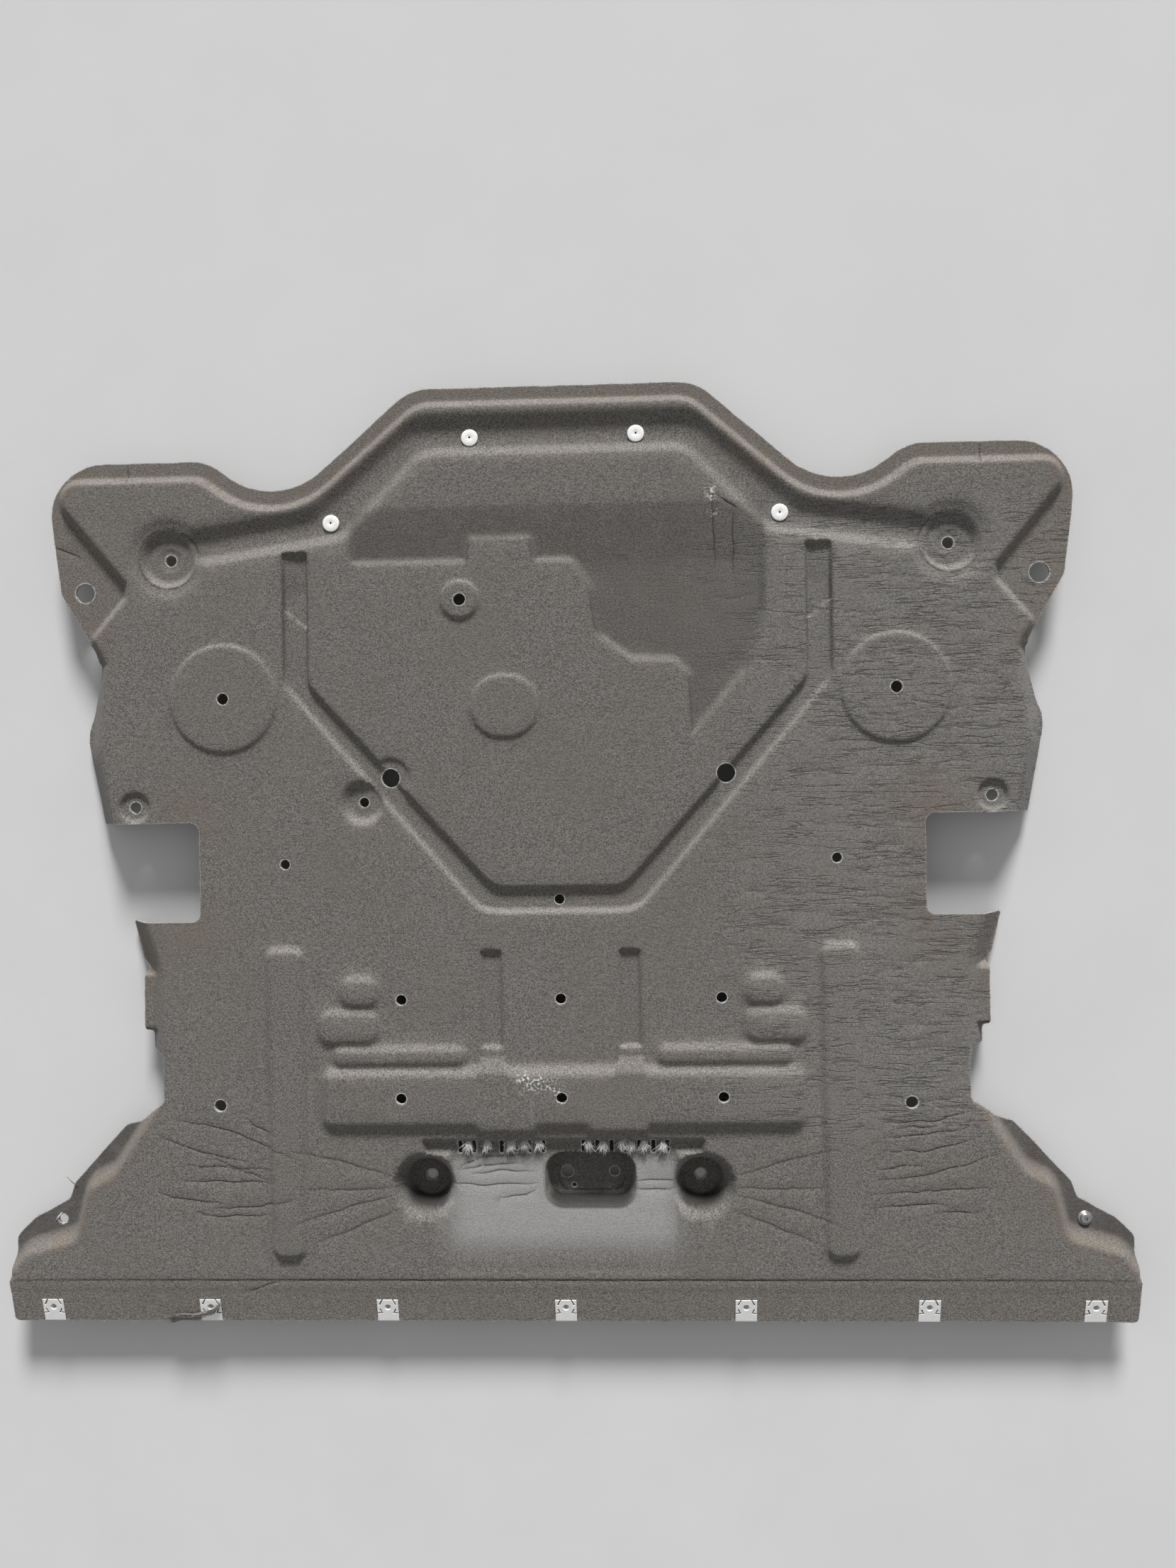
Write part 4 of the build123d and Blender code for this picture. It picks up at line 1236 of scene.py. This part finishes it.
def copies_tree():
    """Node tree: a part on every point, turned by the point's aim and sized by its reach."""
    tree = bpy.data.node_groups.new("copies_on_points", "GeometryNodeTree")
    kinds = {"Points": "Geometry", "Part": "Object", "Twist": "Float", "Seed": "Int", "Finish": "Material"}
    for name, kind in kinds.items():
        tree.interface.new_socket(name, in_out="INPUT", socket_type="NodeSocket" + kind)
    tree.interface.new_socket("Copies", in_out="OUTPUT", socket_type="NodeSocketGeometry")
    nodes = Nodes(tree)
    given = nodes.new("NodeGroupInput").outputs
    source = nodes.new("GeometryNodeObjectInfo", {"Object": given["Part"], "As Instance": True})
    part = source.outputs["Geometry"]
    aim = nodes.new("GeometryNodeInputNamedAttribute", {"Name": "aim"}, data_type="FLOAT_VECTOR").outputs[0]
    reach = nodes.new("GeometryNodeInputNamedAttribute", {"Name": "reach"}, data_type="FLOAT").outputs[0]
    limits = {2: 0.0, 3: given["Twist"], "Seed": given["Seed"]}
    spin = nodes.new("FunctionNodeRandomValue", limits).outputs[1]
    angles = nodes.new("ShaderNodeCombineXYZ", {"Z": spin}).outputs[0]
    spun = nodes.new("FunctionNodeEulerToRotation", {0: angles})
    aimed = nodes.new("FunctionNodeEulerToRotation", {0: aim})
    turns = {0: aimed.outputs[0], 1: spun.outputs[0]}
    turn = nodes.new("FunctionNodeRotateRotation", turns, rotation_space="LOCAL")
    placed = nodes.new("GeometryNodeInstanceOnPoints", {
        "Points": given["Points"], "Instance": part, "Rotation": turn.outputs[0], "Scale": reach,
    })
    real = nodes.new("GeometryNodeRealizeInstances", {"Geometry": placed.outputs[0]})
    done = nodes.new("GeometryNodeSetMaterial", {"Geometry": real.outputs[0], "Material": given["Finish"]})
    nodes.new("NodeGroupOutput", {"Copies": done.outputs[0]})
    return tree


def copies(name, part, places, aims, reaches, finish, twist=0.0, seed=1):
    """One plain mesh of a part's copies at places in mm, and the part itself taken away."""
    piece = make_object(name, np.asarray(places) * MM, [])
    count = len(places)
    layer = piece.data.attributes.new("aim", "FLOAT_VECTOR", "POINT")
    layer.data.foreach_set("vector", np.asarray(aims, np.float32).ravel())
    add_mask(piece.data, "reach", np.broadcast_to(reaches, count))
    tree = bpy.data.node_groups.get("copies_on_points") or copies_tree()
    modifier = piece.modifiers.new("copies", "NODES")
    modifier.node_group = tree
    values = {"Part": part, "Twist": twist, "Seed": seed, "Finish": finish}
    for item in tree.interface.items_tree:
        if item.name in values:
            modifier[item.identifier] = values[item.name]
    mesh = bpy.data.meshes.new_from_object(piece.evaluated_get(bpy.context.evaluated_depsgraph_get()))
    piece.modifiers.clear()
    piece.data = mesh
    bpy.data.objects.remove(part)
    return piece


def aims_of(directions):
    """Turns that point +Z along each direction."""
    return [tuple(Vector(d).to_track_quat("Z", "Y").to_euler()) for d in directions]


def finish_piece(piece, node=None):
    """Hand a piece to the frame."""
    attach(piece, "root")
    if node:
        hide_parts(node)


def cut_lines():
    """The worn outline and every hole."""
    return [wear_and_highlight(loop_of(outline_corners()), 5, 0.5)] + holes()


def fringe(loop, count, low, high, outward, random):
    """Loose fibres along a cut edge: their places in plan, directions and lengths."""
    edge, normals = spaced(loop, 0.7)
    picks = random.integers(0, len(edge), count)
    normal = normals[picks] * outward
    along = np.column_stack((-normal[:, 1], normal[:, 0])) * random.normal(0, 0.8, (count, 1))
    aims = np.column_stack((normal + along, random.normal(0.25, 0.5, count)))
    return edge[picks] - normal * 0.3, aims, random.uniform(low, high, count)


def strip_height(y):
    """Height of the front strip's road face."""
    return STRIP_EDGE + (y - FRONT) * math.tan(STRIP_ANGLE)


def frayed_bundle(settings, material):
    """The torn strand over a clip nut and the loose thread on the left wing."""
    random = np.random.default_rng(settings.seed + 1)
    shell = Shell()
    route = np.array(STRAND_ROUTE)
    for _ in range(60):
        spread = random.normal(0, 1.0, (len(route), 2)) * np.array([3.0, 2.0, 1.5, 1.2, 0.9])[:, None]
        lift = random.uniform(0.4, 3.6) + np.array([0.3, 0.3, 0.3, 1.3, 0.9])
        path = [(x, y, strip_height(y) + rise) for (x, y), rise in zip(route + spread, lift)]
        shell.tube(path, random.uniform(0.25, 0.55) * np.array([0.4, 1.0, 1.0, 0.9, 0.3]))
    for _ in range(4):
        ends = np.array(THREAD_ROUTE) + random.normal(0, 0.3, (3, 2))
        shell.tube([(x, y, FIELD - WING_DROP + 1.0) for x, y in ends], (0.15, 0.3, 0.12))
    return shell.finish("frayed_strand", material, sharp=180)


def torn_slit(settings, material):
    """Pale fibres of the small tear beside the left wing hole."""
    random = np.random.default_rng(settings.seed + 2)
    shell = Shell()
    for _ in range(12):
        ends = np.array(SLIT_ROUTE) + random.normal(0, 0.4, (3, 2))
        shell.tube([(x, y, FIELD - WING_DROP + random.uniform(0.1, 0.7)) for x, y in ends], (0.15, 0.3, 0.1))
    return shell.finish("torn_slit", material, sharp=180)


class FeltSettings(bpy.types.PropertyGroup):
    """Mesh density, wear, colours, and painted shade and highlights of the moulded felt."""
    row_step: FloatProperty(
        name="Row step", description="Spacing of points along an edge, in mm",
        default=5.0, min=2.0,
    )
    row_gap: FloatProperty(
        name="Row gap", description="Smallest gap between points, in mm",
        default=1.3, min=0.5,
    )
    lattice: FloatProperty(
        name="Lattice", description="Spacing of points on flat felt, in mm",
        default=10.0, min=4.0,
    )
    seed: IntProperty(
        name="Seed", description="Fixes the wrinkles and fibres",
        default=11, min=0,
    )
    folds: IntProperty(
        name="Folds", description="Number of creases in the road face",
        default=330, min=90,
    )
    edge_fibres: IntProperty(
        name="Edge fibres", description="Loose fibres on the outline",
        default=2600, min=0,
    )
    hole_fibres: IntProperty(
        name="Hole fibres", description="Loose fibres on each hole's rim",
        default=16, min=0,
    )
    tuft_fibres: IntProperty(
        name="Tuft fibres", description="Fibres in each tuft at a vent",
        default=150, min=0,
    )
    # Colour of the dark fibres, also of the painted shade in the recess, the wing flanges and the cups
    dark_fibre_and_shade: FloatVectorProperty(
        name="Dark fibre", description="Colour of the dark fibres",
        subtype="COLOR", default=(0.066, 0.061, 0.056),
    )
    light_fibre: FloatVectorProperty(
        name="Light fibre", description="Colour of the light fibres",
        subtype="COLOR", default=(0.235, 0.222, 0.208),
    )
    warm_fibre: FloatVectorProperty(
        name="Warm fibre", description="Colour of the warmer patches",
        subtype="COLOR", default=(0.150, 0.136, 0.122),
    )
    pale_fibre: FloatVectorProperty(
        name="Pale fibre", description="Colour of single pale fibres",
        subtype="COLOR", default=(0.46, 0.45, 0.43),
    )
    # Colour of dust, also of the painted light on the ramp between the front cups
    dust_and_light: FloatVectorProperty(
        name="Dust", description="Colour of dusty felt",
        subtype="COLOR", default=(0.33, 0.325, 0.32),
    )
    dirt: FloatVectorProperty(
        name="Dirt", description="Colour of dried dirt",
        subtype="COLOR", default=(0.165, 0.127, 0.095),
    )
    # Colour of the painted shade in creases, wrinkle lines and cup walls
    crease_shade: FloatVectorProperty(
        name="Crease", description="Colour deep in a crease",
        subtype="COLOR", default=(0.020, 0.019, 0.018),
    )
    cut_rim: FloatVectorProperty(
        name="Cut rim", description="Colour of torn fibres at a cut edge",
        subtype="COLOR", default=(0.50, 0.49, 0.47),
    )
    # How much the painted highlight lightens slopes facing the key light and the front strip
    wear_and_highlight: FloatVectorProperty(
        name="Worn", description="How much lighter worn slopes are",
        default=(1.5, 1.48, 1.45),
    )
    tuft: FloatVectorProperty(
        name="Tuft", description="Colour of the tufts at the vents",
        subtype="COLOR", default=(0.74, 0.74, 0.73),
    )


class FastenerSettings(bpy.types.PropertyGroup):
    """Colours of the clip nuts, rivets and screw, and of the painted shade in a rivet's pin hole."""
    clip_zinc: FloatVectorProperty(
        name="Clip zinc", description="Colour of the clip nuts",
        subtype="COLOR", default=(0.94, 0.94, 0.93),
    )
    rivet_white: FloatVectorProperty(
        name="Rivet white", description="Colour of the push rivets",
        subtype="COLOR", default=(0.88, 0.88, 0.86),
    )
    # Colour of the painted shade in a rivet's pin hole
    pin_pit_shade: FloatVectorProperty(
        name="Rivet pin", description="Colour of the pin mark in a rivet",
        subtype="COLOR", default=(0.03, 0.03, 0.03),
    )
    screw_steel: FloatVectorProperty(
        name="Screw steel", description="Colour of the screw",
        subtype="COLOR", default=(0.52, 0.52, 0.53),
    )


class StageSettings(bpy.types.PropertyGroup):
    """Floor, light and camera."""
    floor: FloatVectorProperty(
        name="Floor", description="Colour of the floor",
        subtype="COLOR", default=(0.62, 0.62, 0.62),
    )
    sky: FloatProperty(
        name="Sky", description="Strength of the light from all round",
        default=0.38, min=0.0,
    )
    key: FloatProperty(
        name="Key", description="Strength of the key light",
        default=4.8, min=0.0,
    )
    key_angle: FloatProperty(
        name="Key softness", description="Angular size of the key light",
        subtype="ANGLE", default=math.radians(14),
    )
    key_aim: FloatVectorProperty(
        name="Key aim", description="Where the key light shines to",
        subtype="DIRECTION", default=(-0.08, -0.91, -0.407),
    )
    camera_place: FloatVectorProperty(
        name="Camera place", description="Where the camera stands",
        subtype="TRANSLATION", default=(0.0817, 0.0745, 1.2904),
    )
    camera_roll: FloatProperty(
        name="Camera roll", description="Turn about the upright axis",
        subtype="ANGLE", default=-0.0157902,
    )
    camera_tilt: FloatProperty(
        name="Camera tilt", description="Lean to the side",
        subtype="ANGLE", default=0.0390373,
    )
    focal: FloatProperty(
        name="Focal length", description="Focal length in pixels of the 1659 by 2212 image",
        default=1640.0, min=1.0,
    )


class SHIELD_OT_felt_panel(bpy.types.Operator):
    """Make the moulded felt panel"""
    bl_idname = "shield.felt_panel"
    bl_label = "Felt panel"

    def execute(self, context):
        settings = context.scene.shield_felt
        shapes, folds, cut_loops = relief_list(), fold_list(settings), cut_lines()
        points, edges = sample_points(shapes, folds, cut_loops, settings)
        plan, faces = triangulate(points, edges, cut_loops)
        dips = np.max([fold.dip(plan) for fold in folds], axis=0)
        road = np.column_stack((plan, felt_height(plan, shapes, 0.0) - dips))
        back = np.column_stack((plan, felt_height(plan, shapes, FELT)))
        back[:, 2] = np.clip(back[:, 2], 0.0, np.maximum(road[:, 2] - 0.6, 0.0))
        road[:, 2] = np.maximum(road[:, 2], back[:, 2] + 0.5)
        count = len(plan)
        rim = boundary_edges(faces)
        walls = np.column_stack((rim[:, 1], rim[:, 0], rim[:, 0] + count, rim[:, 1] + count))
        all_faces = faces.tolist() + (faces[:, ::-1] + count).tolist() + walls.tolist()
        verts = np.concatenate((road, back)) * MM
        panel = make_object("moulded_felt", verts, all_faces, felt_material(settings))
        normals = np.empty(6 * count)
        panel.data.vertices.foreach_get("normal", normals)
        slopes = normals.reshape(-1, 3)[:count, 1]
        for name, values in felt_masks(plan, dips, slopes, cut_loops).items():
            hidden = values if name == "rim" else np.zeros(count)
            add_mask(panel.data, name, np.concatenate((values, hidden)))
        panel.data.set_sharp_from_angle(angle=math.radians(60))
        finish_piece(panel, "felt_panel")
        return {"FINISHED"}


class SHIELD_OT_loose_fibres(bpy.types.Operator):
    """Make the loose fibres on cut edges, the tufts at the vents and the frayed strand"""
    bl_idname = "shield.loose_fibres"
    bl_label = "Loose fibres"

    def execute(self, context):
        settings = context.scene.shield_felt
        random = np.random.default_rng(settings.seed)
        shapes, cut_loops = relief_list(), cut_lines()
        groups = [fringe(cut_loops[0], settings.edge_fibres, *EDGE_FIBRE, 1, random)]
        for loop in cut_loops[1:]:
            groups.append(fringe(loop, settings.hole_fibres, *HOLE_FIBRE, -1, random))
        plan, aims, lengths = [np.concatenate(items) for items in zip(*groups)]
        road = felt_height(plan, shapes, 0.0)
        back = np.minimum(felt_height(plan, shapes, FELT), road - 0.6)
        places = np.column_stack((plan, back + (road - back) * random.uniform(0.1, 1.0, len(plan))))
        pale = plain_material("loose_fibre", settings.pale_fibre, 0.5, 120, 0.9)
        twist, seed = 2 * math.pi, settings.seed
        edge = copies("edge_fibres", strand(), places, aims_of(aims), lengths * MM, pale, twist, seed)
        finish_piece(edge)
        tufts, count = [], settings.tuft_fibres
        for x in TUFT_X:
            top = random.uniform(VENT_REAR - 4, VENT_REAR - 1)
            base = random.normal(0, 1.0, (count, 3)) * TUFT_SPREAD + (x, top - 2, FIELD - TUFT_DROP)
            aim = random.normal(0, 1.0, (count, 3)) * TUFT_FAN + TUFT_AIM
            tufts.append((base, aim, random.uniform(*TUFT_LENGTH, count)))
        places, aims, lengths = [np.concatenate(items) for items in zip(*tufts)]
        white = plain_material("tuft_fibre", settings.tuft, 0.15, 150, 0.9)
        tuft = copies("vent_tufts", strand(), places, aims_of(aims), lengths * MM, white, twist, seed)
        finish_piece(tuft)
        grey = plain_material("frayed_fibre", settings.light_fibre, 0.55, 400, 0.95)
        finish_piece(frayed_bundle(settings, grey))
        finish_piece(torn_slit(settings, white))
        return {"FINISHED"}


class SHIELD_OT_clip_nuts(bpy.types.Operator):
    """Make the clip nuts along the front strip"""
    bl_idname = "shield.clip_nuts"
    bl_label = "Clip nuts"

    def execute(self, context):
        settings = context.scene.shield_fasteners
        zinc = plain_material("clip_zinc", settings.clip_zinc, 0.05, 260, 0.36, 0.15)
        places = [(x, FRONT, STRIP_EDGE) for x in CLIP_X]
        aims = [(STRIP_ANGLE, 0, 0)] * len(places)
        clips = copies("spring_clip_nuts", clip_nut(), places, aims, 1.0, zinc)
        finish_piece(clips, "clip_nuts")
        return {"FINISHED"}


class SHIELD_OT_push_rivets(bpy.types.Operator):
    """Make the push rivets in the rear channel"""
    bl_idname = "shield.push_rivets"
    bl_label = "Push rivets"

    def execute(self, context):
        settings = context.scene.shield_fasteners
        nylon = plain_material("white_nylon", settings.rivet_white, 0.06, 180, 0.42, pit=settings.pin_pit_shade)
        places = [(x, y, FIELD - CHANNEL_DEPTH) for x, y in RIVETS]
        aims = [(0, 0, 0)] * len(places)
        rivets = copies("nylon_push_rivets", push_rivet(), places, aims, 1.0, nylon)
        finish_piece(rivets, "push_rivets")
        return {"FINISHED"}


class SHIELD_OT_flange_screw(bpy.types.Operator):
    """Make the flange screw in the right wing"""
    bl_idname = "shield.flange_screw"
    bl_label = "Flange screw"

    def execute(self, context):
        settings = context.scene.shield_fasteners
        steel = plain_material("screw_steel", settings.screw_steel, 0.25, 260, 0.36, 0.9)
        place = (*WING_HOLE, FIELD - WING_DROP)
        screw = copies("washer_screw", flange_screw(), [place], [(0, 0, 0.3)], 1.0, steel)
        finish_piece(screw, "flange_screw")
        return {"FINISHED"}


class SHIELD_OT_stage(bpy.types.Operator):
    """Make the floor, the light and the camera"""
    bl_idname = "shield.stage"
    bl_label = "Stage"

    def execute(self, context):
        scene = context.scene
        settings = scene.shield_stage
        half, level = FLOOR_HALF, CAD_LOW.z - FLOOR_GAP
        corners = [(-half, -half, level), (half, -half, level), (half, half, level), (-half, half, level)]
        pale = plain_material("pale_floor", settings.floor, 0.03, 6, 0.9)
        make_object("floor", corners, [(0, 1, 2, 3)], pale)
        world = bpy.data.worlds.new("studio")
        world.use_nodes = True
        background = world.node_tree.nodes["Background"]
        background.inputs["Color"].default_value = (1, 1, 1, 1)
        background.inputs["Strength"].default_value = settings.sky
        scene.world = world
        key = bpy.data.lights.new("key", "SUN")
        key.energy = settings.key
        key.angle = settings.key_angle
        lamp = bpy.data.objects.new("key", key)
        lamp.rotation_euler = Vector(settings.key_aim).to_track_quat("-Z", "Y").to_euler()
        scene.collection.objects.link(lamp)
        camera = bpy.data.cameras.new("camera")
        camera.sensor_width = SENSOR
        camera.lens = camera.sensor_width * settings.focal / IMAGE_HEIGHT
        camera.clip_start = 0.01
        eye = bpy.data.objects.new("camera", camera)
        turn = Matrix.Rotation(settings.camera_roll, 4, "Z") @ Matrix.Rotation(settings.camera_tilt, 4, "Y")
        eye.matrix_world = Matrix.Translation(settings.camera_place) @ turn
        scene.collection.objects.link(eye)
        scene.camera = eye
        scene.view_settings.view_transform = "Standard"
        return {"FINISHED"}


class SHIELD_PT_panel(bpy.types.Panel):
    """Lists the steps that build the splash shield"""
    bl_label = "Splash shield"
    bl_idname = "SHIELD_PT_panel"
    bl_space_type = "VIEW_3D"
    bl_region_type = "UI"
    bl_category = "Splash Shield"

    def draw(self, context):
        for step in STEPS:
            self.layout.operator(step.bl_idname)
        for name in GROUPS:
            group = getattr(context.scene, name)
            column = self.layout.column(align=True)
            for key in group.__annotations__:
                column.prop(group, key)


GROUPS = {"shield_felt": FeltSettings, "shield_fasteners": FastenerSettings, "shield_stage": StageSettings}
STEPS = (SHIELD_OT_felt_panel, SHIELD_OT_loose_fibres, SHIELD_OT_clip_nuts, SHIELD_OT_push_rivets,
         SHIELD_OT_flange_screw, SHIELD_OT_stage)
CLASSES = (*GROUPS.values(), *STEPS, SHIELD_PT_panel)


def register():
    """Make the settings, the steps and the panel known."""
    for item in CLASSES:
        bpy.utils.register_class(item)
    for name, group in GROUPS.items():
        setattr(bpy.types.Scene, name, PointerProperty(type=group))


def unregister():
    """Take the settings, the steps and the panel away again."""
    for name in GROUPS:
        delattr(bpy.types.Scene, name)
    for item in reversed(CLASSES):
        bpy.utils.unregister_class(item)


def main():
    """Build every piece in order."""
    register()
    bpy.ops.shield.felt_panel()
    bpy.ops.shield.loose_fibres()
    bpy.ops.shield.clip_nuts()
    bpy.ops.shield.push_rivets()
    bpy.ops.shield.flange_screw()
    bpy.ops.shield.stage()


if __name__ == "__main__":
    main()
